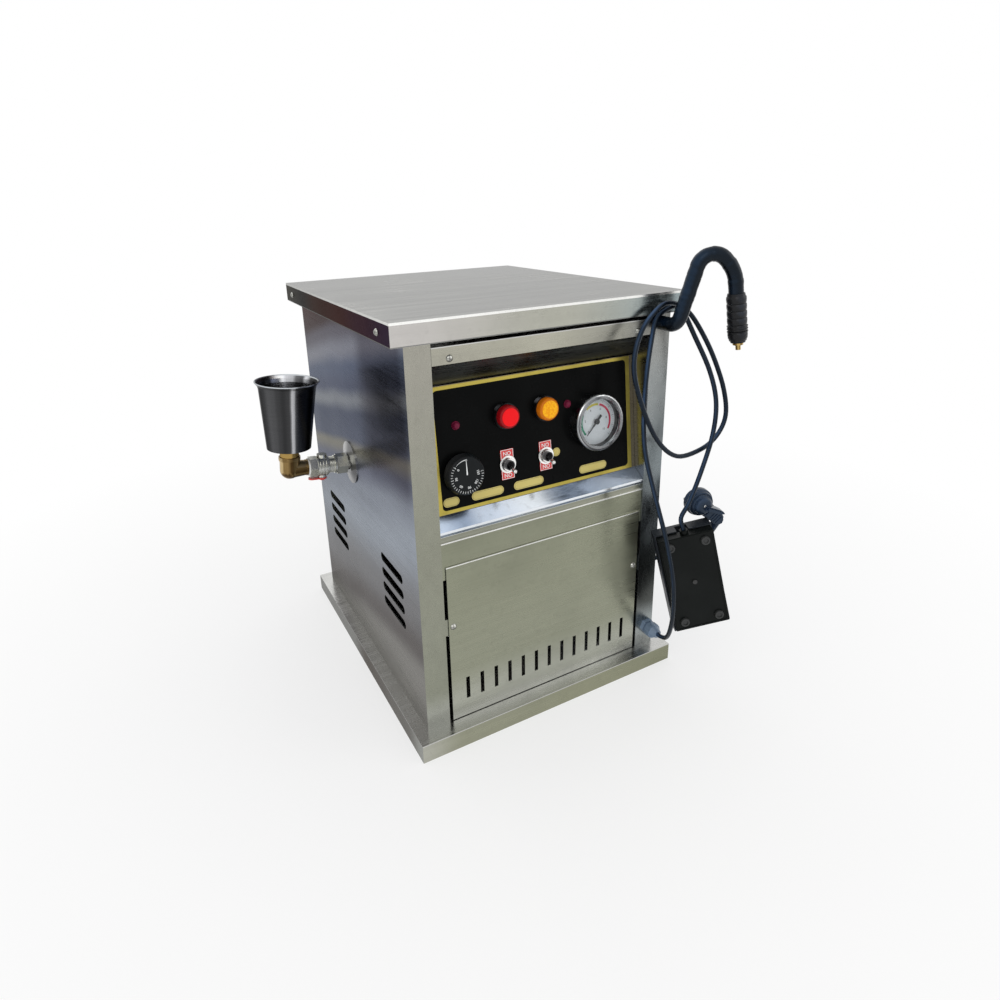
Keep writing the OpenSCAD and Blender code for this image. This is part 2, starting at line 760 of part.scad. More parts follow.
// Screws of the lid, the header, the door and the rear panel
module cabinet_screws() {
  color("white") {
    at_lid_screws() cabinet_screw();
    at_header_screws() cabinet_screw();
    at_door_screws() cabinet_screw();
    at_rear_screws() cabinet_screw();
  }
}

// ---------------------------------------------------------------- control film and instruments

module film_outline() {
  translate([-film_half, film_edge]) square([2 * film_half, panel_l - 2 * film_edge]);
}

module window_outline() {
  offset(r = 5) offset(delta = -5) translate([-film_half + border_w, film_edge + border_w - 2])
    square([2 * (film_half - border_w), panel_l - 2 * film_edge - 2 * border_w + 4]);
}

module panel_film() {
  color("black") on_panel(0, 0, 0) linear_extrude(height = film_t) difference() {
    film_outline();
    instrument_holes();
  }
}

module gold_border() {
  color("gold") on_panel(0, 0, film_t) linear_extrude(height = print_t) difference() {
    film_outline();
    window_outline();
  }
}

// Bare label plates, each as [left end, right end, height up the panel]
module label_plates() {
  color("gold") for (p = label_ends)
    on_panel((p[0] + p[1]) / 2, p[2], film_t) linear_extrude(height = print_t)
      slot_shape(p[1] - p[0], label_h);
}

// Pilot lamps: collar on the film, threaded body through the panel and a nut behind it
module lamp_bodies() {
  color("dimgray") for (x = lamp_xs) on_panel(x, lamp_s, 0) difference() {
    union() {
      translate([0, 0, film_t]) cylinder(h = lamp_collar_h, d = lamp_collar_d);
      translate([0, 0, -lamp_depth]) cylinder(h = lamp_depth + film_t + eps, d = lamp_hole_d - 0.6);
      translate([0, 0, -sheet - 5]) cylinder(h = 5, d = 29);
      for (s = [-1, 1]) translate([s * 5 - 1, -3, -lamp_depth - 8]) cube([2, 6, 8.5]);
    }
    translate([0, 0, 1.5]) cylinder(h = lamp_collar_h, d = lamp_lens_d + 0.8);
    translate([0, 0, -lamp_depth + 3]) cylinder(h = lamp_depth, d = lamp_hole_d - 5);
  }
}

module lamp_lens() {
  difference() {
    union() {
      translate([0, 0, 1.5]) cylinder(h = lamp_lens_h - 3, d = lamp_lens_d);
      translate([0, 0, lamp_lens_h - 1.5 - eps]) cylinder(h = 1.5 + eps, d1 = lamp_lens_d, d2 = lamp_lens_d - 3);
    }
    translate([0, 0, 0]) cylinder(h = lamp_lens_h - 2, d = lamp_lens_d - 4);
  }
}

module red_lamp_lens() {
  color("red") on_panel(lamp_xs[0], lamp_s, 0) lamp_lens();
}

module amber_lamp_lens() {
  color("orange") on_panel(lamp_xs[1], lamp_s, 0) lamp_lens();
}

// Small indicators: a domed lens in a short barrel behind the panel
module small_indicators() {
  color("darkred") for (x = led_xs) on_panel(x, lamp_s - 1, 0) {
    translate([0, 0, film_t]) cylinder(h = led_h - 2.5, d = led_d);
    translate([0, 0, film_t + led_h - 2.5 - eps]) cylinder(h = 2.5, d1 = led_d, d2 = led_d - 5);
    translate([0, 0, -14]) cylinder(h = 14 + film_t + eps, d = led_d - 3);
    translate([0, 0, -sheet - 4]) cylinder(h = 4, d = led_d + 3);
  }
}

// Gauge case: cup behind the panel, rim on the film, movement inside and a threaded stem
module gauge_case() {
  r = gauge_case_d / 2;
  color("gray") on_panel(gauge_x, gauge_s, 0) difference() {
    union() {
      translate([0, 0, -gauge_depth]) cylinder(h = gauge_depth + film_t + eps, r = r);
      translate([0, 0, film_t]) cylinder(h = gauge_h - 5 - film_t, r = r + 1.5);
      translate([0, 0, -gauge_depth - 8]) cylinder(h = 8 + eps, d = 16, $fn = 6);
      translate([0, 0, -gauge_stem]) cylinder(h = gauge_stem - gauge_depth, d = 10);
    }
    translate([0, 0, 5]) cylinder(h = gauge_h, r = r - 0.8);
    difference() {
      translate([0, 0, 1.5 - gauge_depth]) cylinder(h = gauge_h + gauge_depth, r = r - 1.5);
      translate([0, 0, -gauge_depth]) cylinder(h = gauge_depth - 4, r = 12);
    }
    translate([0, 0, -14]) cylinder(h = 20, r = 1 + running);
    translate([0, 0, -gauge_stem - 1]) cylinder(h = 12, d = 4);
  }
}

module gauge_bezel() {
  r = gauge_case_d / 2 + bezel_over;
  color("silver") on_panel(gauge_x, gauge_s, 0) rotate_extrude() difference() {
    union() {
      translate([gauge_case_d / 2 + 2, film_t]) square([r - gauge_case_d / 2 - 2, gauge_h - film_t - 3]);
      translate([r - bezel_ring, gauge_h - 3.2]) square([bezel_ring - 3, 3.2]);
      translate([r - 3.2, gauge_h - 3.2]) circle(r = 3.2);
    }
    translate([r - bezel_ring - 1, 0]) square([gauge_case_d / 2 + 2 - r + bezel_ring + 1, gauge_h - 3.2]);
  }
}

module gauge_dial() {
  color("white") on_panel(gauge_x, gauge_s, 5) difference() {
    cylinder(h = 0.8, r = gauge_case_d / 2 - 1.1);
    translate([0, 0, -1]) cylinder(h = 3, r = 1.6);
  }
}

// Needle with its tail, hub and spindle, resting at the low end of the scale
module gauge_needle() {
  color("black") on_panel(gauge_x, gauge_s, 0) rotate([0, 0, needle_rest]) {
    translate([0, 0, 7.2]) cylinder(h = 2.2, r = 3.4);
    translate([0, 0, -13]) cylinder(h = 21, r = 1);
    translate([0, 0, 7.6]) linear_extrude(height = 0.7)
      polygon([[-1.1, 0], [-0.3, needle_l], [0.3, needle_l], [1.1, 0], [1.6, -10], [-1.6, -10]]);
  }
}

module gauge_glass() {
  color("lightcyan") on_panel(gauge_x, gauge_s, gauge_h - 5)
    cylinder(h = 1.8, r = gauge_case_d / 2 + 1.4);
}

// Thermostat behind the panel: box, bush, spade terminals and the capillary's head
module thermostat_body() {
  color("dimgray") on_panel(knob_x, knob_s, 0) difference() {
    union() {
      translate([-18, -22, -sheet - 26]) cube([36, 44, 26]);
      translate([0, 0, -sheet - eps]) cylinder(h = sheet + 2, d = 10);
      for (y = [-14, 0, 14]) translate([-1, y - 3, -sheet - 34]) cube([1, 6, 9]);
      translate([10, 0, -sheet - 34]) cylinder(h = 9, d = 8);
    }
    translate([0, 0, -18]) cylinder(h = 40, d = shaft_d + 2 * running);
  }
}

// Knob with its skirt, raised face, finger flutes and the shaft under it
module thermostat_knob() {
  foot = film_t + knob_gap;
  color("black") on_panel(knob_x, knob_s, 0) {
    difference() {
      union() {
        translate([0, 0, foot]) cylinder(h = 3, d1 = knob_d - 2, d2 = knob_d);
        translate([0, 0, foot + 3 - eps]) cylinder(h = knob_h - 4 + 2 * eps, d1 = knob_d, d2 = knob_d - 4);
        translate([0, 0, foot + knob_h - 1]) cylinder(h = 1, d1 = knob_d - 4, d2 = knob_d - 6);
      }
      translate([0, 0, foot - 1]) cylinder(h = knob_h - 2, d = knob_d - 9);
    }
    translate([0, 0, foot]) cylinder(h = knob_h - 1, d = 11);
    translate([0, 0, -17]) cylinder(h = 17 + foot + 4, d = shaft_d);
  }
}

// Toggle switch bodies with their threaded bushes and tags
module toggle_bodies() {
  color("gray") for (x = toggle_xs) on_panel(x, switch_s, 0) difference() {
    union() {
      translate([-9, -15, -sheet - 20]) cube([18, 30, 20]);
      translate([0, 0, -sheet - eps]) cylinder(h = bush_l + sheet + eps, d = bush_d);
      for (y = [-9, 0, 9]) translate([-3, y - 0.5, -sheet - 28]) cube([6, 1, 9]);
    }
    translate([0, 0, lever_pivot]) cylinder(h = 20, r1 = 3.6, r2 = 3.6 + (bush_d / 2 - 4.5) * 20 / (bush_l - lever_pivot));
    translate([0, 0, lever_pivot]) sphere(r = 3.6);
    translate([0, 0, lever_pivot - 7]) cylinder(h = 7, r1 = 3, r2 = 3.6);
    translate([-5, 0, lever_pivot]) rotate([0, 90, 0]) cylinder(h = 10, r = 0.8 + running);
  }
}

module toggle_plates() {
  color("red") for (x = toggle_xs) on_panel(x, switch_s, film_t) difference() {
    translate([-plate_w / 2, -plate_h / 2, 0]) cube([plate_w, plate_h, 1]);
    translate([0, 0, -1]) cylinder(h = 3, d = bush_d + 0.6);
  }
}

// Round dress nuts over the plates
module toggle_nuts() {
  color("silver") for (x = toggle_xs) on_panel(x, switch_s, film_t + 1) difference() {
    union() {
      cylinder(h = 1.2, d = nut_d);
      translate([0, 0, 1.2 - eps]) cylinder(h = 2.4, d1 = nut_d - 4, d2 = nut_d - 6.5);
    }
    translate([0, 0, -1]) cylinder(h = 6, d = bush_d + 0.1);
  }
}

// Bat lever on its ball and cross pin, pointing down
module toggle_lever(x) {
  color("silver") on_panel(x, switch_s, lever_pivot) rotate([lever_angle, 0, 0]) {
    sphere(r = 3.2);
    cylinder(h = lever_l - 2.7, r1 = 1.2, r2 = 2.4);
    translate([0, 0, lever_l - 2.7]) sphere(r = 2.7);
    translate([-4.7, 0, 0]) rotate([0, 90, 0]) cylinder(h = 9.4, r = 0.8);
  }
}

module left_toggle_lever() {
  toggle_lever(toggle_xs[0]);
}

module right_toggle_lever() {
  toggle_lever(toggle_xs[1]);
}

// ---------------------------------------------------------------- steam outlet

module bent_pipe(route, bends, r, bore, sides) {
  swept_tube(bent_path(route, bends, sides / 2), 2 * r, 2 * bore, sides);
}

// Block soldered behind the post, with a spigot through it
module outlet_fitting() {
  x0 = opening_half + sheet + 0.3;
  color("goldenrod") difference() {
    union() {
      box(x0, outlet_x + outlet_x - x0, front_y + sheet, front_y + sheet + 14, outlet_z - 9, outlet_z + 9);
      translate([outlet_x, front_y, outlet_z]) rotate([-90, 0, 0]) cylinder(h = sheet + 1, r = 6.2);
    }
    translate([outlet_x, front_y - 1, outlet_z]) rotate([-90, 0, 0]) cylinder(h = 20, r = pipe_d / 2 + running);
  }
}

module steam_gooseneck() {
  color("goldenrod") swept_tube(bent_path(neck_route, neck_bends, 7), pipe_d,
    pipe_d - 2 * pipe_wall, 10);
}

module gooseneck_sleeve() {
  route = [[outlet_x, front_y, outlet_z], neck_route[1], neck_route[2], neck_route[3], neck_foot];
  color("black") swept_tube(bent_path(route, neck_bends, 7), sleeve_d, pipe_d + 0.6, 20);
}

// Wound layer over the sleeve's free end
module nozzle_wrap() {
  color("black") difference() {
    rod(neck_foot - neck_dir * wrap_l, neck_foot, wrap_d / 2);
    rod(neck_foot - neck_dir * (wrap_l + 1), neck_foot + neck_dir, sleeve_d / 2 + running);
  }
}

module nozzle_tip() {
  color("gold") difference() {
    union() {
      rod(neck_foot, neck_foot + neck_dir * 3, nozzle_d / 2 + 3);
      rod(neck_foot + neck_dir * 2.9, neck_foot + neck_dir * nozzle_l, nozzle_d / 2);
    }
    rod(neck_foot - neck_dir, neck_foot + neck_dir * (nozzle_l + 1), jet_d / 2);
  }
}

// ---------------------------------------------------------------- water inlet

// Children lie along the inlet line: X out of the side panel, Z up the cup
module on_inlet() {
  translate([-side_x, inlet_y, inlet_z]) rotate([0, inlet_lean, 0]) rotate([0, 0, 180]) children();
}

module along_x(x, l, d1, d2) {
  translate([x, 0, 0]) rotate([0, 90, 0]) cylinder(h = l, d1 = d1, d2 = d2);
}

module hex_x(x, l, flats) {
  translate([x, 0, 0]) rotate([30, 0, 0]) rotate([0, 90, 0])
    cylinder(h = l, d = flats / cos(30), $fn = 6);
}

module wall_flange() {
  color("silver") translate([-side_x, inlet_y, inlet_z]) rotate([0, -90, 0]) difference() {
    union() {
      cylinder(h = 1.5, d = flange_d);
      translate([0, 0, 1.5 - eps]) cylinder(h = 2.5, d1 = flange_d, d2 = 30);
    }
    translate([0, 0, -1]) cylinder(h = 9, d = 19);
  }
}

// Valve body with its nipple through the side panel and the nut inside
module inlet_valve() {
  color("silver") on_inlet() difference() {
    union() {
      along_x(-nipple_in, nipple_in + 7, 16.5, 16.5);
      along_x(-8.7, 6.2, 26, 26);
      hex_x(6.5, 14, hex_flats);
      along_x(20, 13, 21, 21);
      along_x(21, 2.5, 24, 24);
      along_x(32, 2.5, 25, 25);
      along_x(33, 13.5, 26.5, 26.5);
      along_x(46, 10.5, 22, 22);
      hex_x(46.5, valve_end - 46.5, hex_flats);
      translate([ball_x, 0, -stem_drop]) cylinder(h = stem_drop, d = 12);
      translate([ball_x, 0, 0]) cylinder(h = 16, d = 13);
    }
    along_x(-nipple_in - 1, nipple_in + valve_end + 2, inlet_bore, inlet_bore);
    translate([ball_x, 0, -stem_drop - 1]) cylinder(h = 8, d = 6 + 2 * running);
  }
}

// Red handle on the valve's stem, under the line
module inlet_valve_lever() {
  color("red") on_inlet() translate([ball_x, 0, 0]) {
    translate([0, 0, -stem_drop - 2.5]) linear_extrude(height = 2) {
      circle(d = 13);
      translate([0, -5]) square([lever_reach - 5, 10]);
      translate([lever_reach - 5, 0]) circle(d = 10);
    }
    translate([0, 0, -stem_drop - 4.5]) cylinder(h = 2.2, d = 8, $fn = 6);
    translate([0, 0, -stem_drop - 2]) cylinder(h = 8, d = 6);
  }
}

module inlet_seal_ring() {
  color("white") on_inlet() difference() {
    along_x(valve_end, 1.8, hex_flats - 1, hex_flats - 1);
    along_x(valve_end - 1, 4, inlet_bore, inlet_bore);
  }
}

module inlet_elbow() {
  x0 = valve_end + 1.8;
  r = elbow_d / 2;
  color("peru") on_inlet() difference() {
    union() {
      along_x(x0, 3, elbow_d - 4, elbow_d - 4);
      along_x(x0 + 2.9, cup_out - x0 - 2.9, elbow_d - 5, elbow_d - 1);
      translate([cup_out, 0, 0]) sphere(r = r);
      translate([cup_out, 0, 0]) cylinder(h = elbow_top - 4, r = r);
      translate([cup_out, 0, elbow_top - 5]) cylinder(h = 5, r = r + 1);
    }
    along_x(x0 - 1, cup_out - x0 + 1, inlet_bore, inlet_bore);
    translate([cup_out, 0, 0]) sphere(d = inlet_bore);
    translate([cup_out, 0, 0]) cylinder(h = 40, d = inlet_bore);
  }
}

// Spun cup with a flared rim, a chamfered foot and a threaded spout
module filler_cup() {
  z0 = elbow_top;
  z1 = z0 + 7;
  z2 = z1 + 5;
  z3 = z1 + cup_h;
  r1 = cup_foot_d / 2;
  r2 = cup_top_d / 2;
  r3 = cup_rim_d / 2;
  w = cup_wall;
  color("silver") on_inlet() translate([cup_out, 0, 0]) rotate_extrude() polygon([
    [inlet_bore / 2, z0], [12, z0], [12, z1], [r1, z2], [r2, z3 - 9], [r2 + 1, z3 - 5], [r3, z3 - 1],
    [r3, z3], [r3 - w, z3], [r2 + 1 - w, z3 - 4], [r2 - w, z3 - 9], [r1 - w, z2 + w], [inlet_bore / 2, z1 + w]
  ]);
}

// ---------------------------------------------------------------- foot pedal

// Children stand on the pedal's underside: X across, Y towards the cord, Z up to the treadle
module on_pedal() {
  multmatrix(placed(pedal_x, pedal_y, pedal_z, pedal_at)) children();
}

function pedal_point(p) = pedal_at + pedal_x * p[0] + pedal_y * p[1] + pedal_z * p[2];

module pedal_base() {
  w = pedal_w / 2 - pedal_wall - 0.4;
  l = pedal_l / 2 - pedal_wall - 0.9;
  color("dimgray") on_pedal() difference() {
    union() {
      difference() {
        box(-w, w, -l, l, 0, pedal_side);
        box(-w + pedal_wall, w - pedal_wall, -l + pedal_wall, l - pedal_wall, pedal_wall, pedal_side + 1);
      }
      translate([0, l - 8, cord_entry]) rotate([-90, 0, 0]) cylinder(h = pedal_l / 2 + 3 - l + 8, d = 11);
      for (s = [-1, 1]) box(s * (w - 3) - 3, s * (w - 3) + 3, -pedal_hinge - 7, -pedal_hinge + 7, 1, pedal_side);
    }
    translate([0, l - 9, cord_entry]) rotate([-90, 0, 0]) cylinder(h = 9, d = 5);
    translate([-w - 1, -pedal_hinge, hinge_z]) rotate([0, 90, 0])
      cylinder(h = 2 * w + 2, r = pedal_pin_d / 2 + running);
    translate([0, 0, -1]) cylinder(h = 5, d = 3.4);
  }
}

// Side outline of the treadle, along Y and up Z
module treadle_side(inset) {
  l = pedal_l / 2 - inset;
  polygon([[-l, 5 - 9 * inset], [l, 13 - 9 * inset], [l, pedal_h - inset], [-l, pedal_toe_h - inset]]);
}

module treadle_block(inset) {
  rotate([90, 0, 90]) translate([0, 0, -pedal_w / 2 + inset])
    linear_extrude(height = pedal_w - 2 * inset) treadle_side(inset);
}

// Hinged cover with its skirt, the slot for the cord's boss and the rod that works the switch
module pedal_treadle() {
  color("darkslategray") on_pedal() {
    difference() {
      treadle_block(0);
      treadle_block(pedal_wall);
      box(-8, 8, pedal_l / 2 - 4, pedal_l / 2 + 1, 0, 27);
      translate([-pedal_w, -pedal_hinge, hinge_z]) rotate([0, 90, 0])
        cylinder(h = 2 * pedal_w, r = pedal_pin_d / 2 + running);
    }
    translate([0, 0, switch_rod]) cylinder(h = (pedal_h + pedal_toe_h) / 2 - switch_rod - 1, d = 4);
  }
}

module pedal_pin() {
  color("silver") on_pedal() translate([-pedal_w / 2, -pedal_hinge, hinge_z]) rotate([0, 90, 0])
    cylinder(h = pedal_w, d = pedal_pin_d);
}

// Return spring between the floor and the cover
module pedal_spring() {
  y = 34;
  turns = 5;
  steps = 12;
  top = pedal_toe_h + (pedal_h - pedal_toe_h) * (y + pedal_l / 2) / pedal_l - pedal_wall;
  h = top - pedal_wall - 2.6;
  n = turns * steps;
  p = [for (i = [0:n]) [6 * cos(360 * i / steps), y + 6 * sin(360 * i / steps), pedal_wall + 1 + h * i / n]];
  color("silver") on_pedal() swept(p, 1.4, 6);
}

// Switch body with the well that the treadle's rod runs in, and its screw from below
module pedal_switch() {
  color("black") on_pedal() difference() {
    union() {
      box(-10, 10, -15, 15, pedal_wall, 17);
      translate([0, 0, -1.6]) cylinder(h = 1.6, d = 6);
      translate([0, 0, -1]) cylinder(h = 3, d = 3);
    }
    translate([0, 0.5, 7]) cylinder(h = 11, d = 7.4);
  }
}

module pedal_feet() {
  color("gray") on_pedal() for (x = [-1, 1] * (pedal_w / 2 - 14.5)) for (y = [-1, 1] * (pedal_l / 2 - 14.5))
    translate([x, y, -foot_h]) cylinder(h = foot_h, d1 = foot_d - 1.5, d2 = foot_d);
}

// ---------------------------------------------------------------- cords

// Curve through the points, cut into k steps between each pair
function curve(p, k) = let (n = len(p) - 1) [for (i = [0:n - 1]) for (j = [0:k - 1])
  let (a = p[max(i - 1, 0)], b = p[i], c = p[i + 1], d = p[min(i + 2, n)], t = j / k)
  0.5 * (2 * b + (c - a) * t + (2 * a - 5 * b + 4 * c - d) * t * t
    + (3 * b - a - 3 * c + d) * t * t * t), p[n]];

// Swept tube whose two ends are square to the first and last legs of its route
module cord_run(route, d) {
  c = curve(route, 2);
  n = len(route) - 1;
  m = len(c) - 1;
  swept(concat([route[0], route[0] + 0.6 * unit(route[1] - route[0])], [for (i = [1:m - 1]) c[i]],
    [route[n] - 0.6 * unit(route[n] - route[n - 1]), route[n]]), d, 8);
}

module pedal_cord() {
  color("black") cord_run(pedal_route, cord_d);
}

// Gland in the post: locknut inside, body, and a domed nut that grips the cord
module cord_gland() {
  color("slategray") translate([gland_x, front_y, gland_z]) rotate([90, 0, 0]) difference() {
    union() {
      translate([0, 0, -12]) cylinder(h = 13, r = 6);
      translate([0, 0, -sheet - 5]) cylinder(h = 5, d = 18, $fn = 6);
      cylinder(h = 6, d = 22, $fn = 6);
      translate([0, 0, 5.9]) cylinder(h = 3, d = 15);
      translate([0, 0, 8.5]) cylinder(h = 9, d = 20);
      translate([0, 0, 17.4]) cylinder(h = gland_l - 17.4, d1 = 18, d2 = 11);
    }
    translate([0, 0, -13]) cylinder(h = 13 + gland_l - 6, d = 6);
  }
}

// Rear gland with a tapered strain relief
module mains_gland() {
  color("black") translate([mains_x, back_y, mains_z]) rotate([-90, 0, 0]) difference() {
    union() {
      translate([0, 0, -12]) cylinder(h = 13, r = 8);
      translate([0, 0, -sheet - 5]) cylinder(h = 5, d = 24, $fn = 6);
      cylinder(h = 6, d = 24);
      translate([0, 0, 5.9]) cylinder(h = mains_relief - 5.9, d1 = 15, d2 = 10);
    }
    translate([0, 0, -13]) cylinder(h = 13 + mains_relief - 4, d = 7);
  }
}

module mains_lead_rear() {
  color("black") cord_run(rear_route, lead_d);
}

module mains_lead_front() {
  color("black") cord_run(front_route, lead_d);
}

// Stack of turns on the table, with a straight end of one diameter at each side
module mains_lead_coil() {
  p = concat([coil_turns[0] - [0, lead_d, 0]], coil_turns, [coil_end - [0, lead_d, 0]]);
  color("black") swept(p, lead_d, 6);
}

// Moulded angled plug: round face and pins on one side, grip and tapered relief on the other
module mains_plug() {
  color("black") {
    multmatrix(placed(plug_u, plug_v, plug_w, plug_at)) {
      translate([0, 0, -9]) cylinder(h = 9, d = plug_d);
      translate([0, 0, -0.1]) cylinder(h = 5, d1 = plug_d - 3, d2 = plug_d - 5);
      translate([0, 0, 4.8]) cylinder(h = 9, d1 = plug_d - 9, d2 = plug_d - 16);
      box(0, 34, -8, 8, -4, 15);
      translate([34, 0, -4]) cylinder(h = 19, r = 8);
      rotate([0, 0, 23]) box(0, 30, -2.5, 2.5, 6, 20);
      for (s = [-1, 1]) translate([0, s * 9.5, -28]) cylinder(h = 20, d = 4.8);
    }
    aim(plug_exit, lead_dir) translate([0, 0, -6]) cylinder(h = 28, d1 = 14, d2 = 9);
  }
}

// ---------------------------------------------------------------- boiler and fittings

module boiler_end(r, rise, y) {
  ball = (r * r + rise * rise) / (2 * rise);
  intersection() {
    translate([0, 0, y + rise - ball]) sphere(r = ball, $fn = 96);
    translate([0, 0, y - 0.5]) cylinder(h = rise + 1, r = r, $fn = 96);
  }
}

module boiler_solid(r, l, rise) {
  cylinder(h = l, r = r, center = true, $fn = 96);
  boiler_end(r, rise, l / 2);
  mirror([0, 0, 1]) boiler_end(r, rise, l / 2);
}

// Bosses as [x, y, height of the top face]
module boiler_bosses(d, extra) {
  for (b = boss_points) translate([b[0], b[1], boiler_cz + 60 - extra]) cylinder(h = b[2] - boiler_cz - 60 + 2 * extra, d = d);
}

module boiler_shell() {
  r = boiler_d / 2;
  color("silver") difference() {
    union() {
      translate([boiler_x, boiler_y, boiler_cz]) rotate([90, 0, 0]) boiler_solid(r, boiler_l, dome_h);
      boiler_bosses(16, 0);
      translate([boiler_x, heater_y + 24, heater_z]) rotate([90, 0, 0]) cylinder(h = 24, d = 60);
    }
    translate([boiler_x, boiler_y, boiler_cz]) rotate([90, 0, 0])
      boiler_solid(r - boiler_wall, boiler_l - 2, dome_h - 2);
    boiler_bosses(8, 1);
    translate([boiler_x, heater_y + 40, heater_z]) rotate([90, 0, 0]) cylinder(h = 50, d = 50);
  }
}

// Two saddles on the base
module boiler_cradle() {
  color("gray") for (y = [-1, 1] * (boiler_l / 2 - 40)) difference() {
    translate([boiler_x, boiler_y + y, 0]) union() {
      box(-80, 80, -2, 2, base_h, boiler_cz - 50);
      box(-80, 80, -14, 14, base_h, base_h + 2.5);
    }
    translate([boiler_x, boiler_y, boiler_cz]) rotate([90, 0, 0])
      cylinder(h = boiler_l, r = boiler_d / 2 + 0.3, center = true, $fn = 96);
  }
}

// Flanged immersion heater with its bolts, terminals and looped rods
module heating_element() {
  color("darkgray") translate([boiler_x, heater_y, heater_z]) rotate([90, 0, 0]) {
    cylinder(h = 7, d = 74);
    for (a = [0:60:300]) rotate([0, 0, a]) translate([33, 0, 6.9]) cylinder(h = 4, d = 7, $fn = 6);
    for (a = [30:60:330]) rotate([0, 0, a]) {
      translate([16, 0, 6]) cylinder(h = 15, d = 7);
      translate([16, 0, -heater_l]) cylinder(h = heater_l + 1, d = 8);
    }
    translate([0, 0, -heater_l - 4]) cylinder(h = 4.1, d = 42);
  }
}

// Spring-loaded safety valve on its boss
module safety_valve() {
  b = boss_points[0];
  color("goldenrod") translate([b[0], b[1], b[2]]) {
    cylinder(h = 9, d = 22, $fn = 6);
    translate([0, 0, 8.9]) cylinder(h = 24, d = 17);
    translate([0, 0, 32.8]) cylinder(h = 5, d1 = 17, d2 = 9);
    translate([0, 0, 37.7]) cylinder(h = 6, d = 4);
    translate([0, 0, 50.2]) rotate([90, 0, 0]) rotate_extrude() translate([7, 0]) circle(d = 2);
  }
}

// Solenoid steam valve: brass body and its coil
module steam_valve() {
  color("goldenrod") translate(valve_at) difference() {
    union() {
      box(-14, 14, -20, 20, -12, 12);
      translate([0, 0, 11.9]) cylinder(h = 6, d = 20);
      box(-14, 14, -17, 17, 17.8, 52);
      translate([0, 0, 51.9]) cylinder(h = 4, d = 14, $fn = 6);
      box(14 - eps, 22, -9, 9, 24, 44);
    }
    rod([0, -21, 0], [0, 21, 0], pipe_d / 2 - pipe_wall);
  }
}

// Steam, fill and gauge lines inside the cabinet
module boiler_pipes() {
  color("peru") {
    bent_pipe(steam_in_route, [14, 14], pipe_d / 2, pipe_d / 2 - pipe_wall, 10);
    bent_pipe(steam_out_route, [9, 9], pipe_d / 2, pipe_d / 2 - pipe_wall, 10);
    bent_pipe(fill_route, [9], 7, 5, 10);
    bent_pipe(gauge_route, [14], 3, 2, 10);
  }
}

base_tray();
left_side_panel();
right_side_panel();
rear_panel();
top_lid();
front_header();
control_console();
front_apron();
lower_door();
cabinet_screws();
panel_film();
gold_border();
label_plates();
lamp_bodies();
red_lamp_lens();
amber_lamp_lens();
small_indicators();
gauge_case();
gauge_bezel();
gauge_dial();
gauge_needle();
gauge_glass();
thermostat_body();
thermostat_knob();
toggle_bodies();
toggle_plates();
toggle_nuts();
left_toggle_lever();
right_toggle_lever();
outlet_fitting();
steam_gooseneck();
gooseneck_sleeve();
nozzle_wrap();
nozzle_tip();
filler_cup();
inlet_elbow();
inlet_seal_ring();
inlet_valve();
inlet_valve_lever();
wall_flange();
pedal_base();
pedal_treadle();
pedal_pin();
pedal_spring();
pedal_switch();
pedal_feet();
pedal_cord();
cord_gland();
mains_gland();
mains_lead_rear();
mains_lead_coil();
mains_lead_front();
mains_plug();
boiler_shell();
boiler_cradle();
heating_element();
safety_valve();
steam_valve();
boiler_pipes();
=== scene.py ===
"""Dresses the bench steam cleaner: cabinet, control panel, water inlet, gooseneck, foot pedal and cords.

Lengths are millimetres in the classes and metres in Blender. The frame is the CAD model's own: Z up, the
origin at the centre of the base's underside, and the control panel facing -Y.
"""

import logging
import math
from collections.abc import Sequence
from dataclasses import dataclass
from enum import Enum

import bmesh
import bpy
from mathutils import Matrix, Vector


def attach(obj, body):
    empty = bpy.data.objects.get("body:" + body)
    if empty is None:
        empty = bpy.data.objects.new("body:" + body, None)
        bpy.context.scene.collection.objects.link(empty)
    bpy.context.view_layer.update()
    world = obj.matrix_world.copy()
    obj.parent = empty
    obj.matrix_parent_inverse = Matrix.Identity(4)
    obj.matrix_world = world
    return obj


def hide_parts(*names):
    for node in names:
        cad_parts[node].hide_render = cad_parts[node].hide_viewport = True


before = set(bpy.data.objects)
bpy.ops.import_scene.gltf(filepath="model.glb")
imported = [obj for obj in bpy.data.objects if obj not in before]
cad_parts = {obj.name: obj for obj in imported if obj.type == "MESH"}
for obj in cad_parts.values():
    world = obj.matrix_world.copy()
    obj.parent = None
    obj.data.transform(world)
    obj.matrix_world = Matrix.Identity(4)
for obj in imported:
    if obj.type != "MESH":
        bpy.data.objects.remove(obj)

logging.basicConfig(level=logging.INFO, format="%(levelname)s %(message)s")
LOG = logging.getLogger("steam_cleaner")
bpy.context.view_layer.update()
MM = 0.001
# Font size that gives a capital of height 1, and how far its strokes spread
CAPITAL_SIZE = 1.35
INK_SPREAD = 0.014
# Half the height over which the shade on a side comes in, in mm
SHADE_BLEND = 22.0
# How brushing is drawn out: across the front, and up a side panel
CROSS_GRAIN = (5.0, 420.0, 420.0)
UPRIGHT_GRAIN = (500.0, 5.0, 160.0)
# Where the mains lead enters the plug, in mm, and the way it hangs from there
PLUG_EXIT = (239.6, -242.5, 217.0)
LEAD_WAY = (-0.06, 0.34, -0.94)

Colour = tuple[float, float, float]
Stops = tuple[tuple[float, Colour], ...]


class Body(Enum):
    """The bodies that the pieces ride on."""

    CABINET = "cabinet"
    KNOB = "knob"
    TREADLE = "treadle"


class Axis(Enum):
    """The axis that a colour runs along."""

    X = 0
    Y = 1
    Z = 2


# ---------------------------------------------------------------- places and shapes


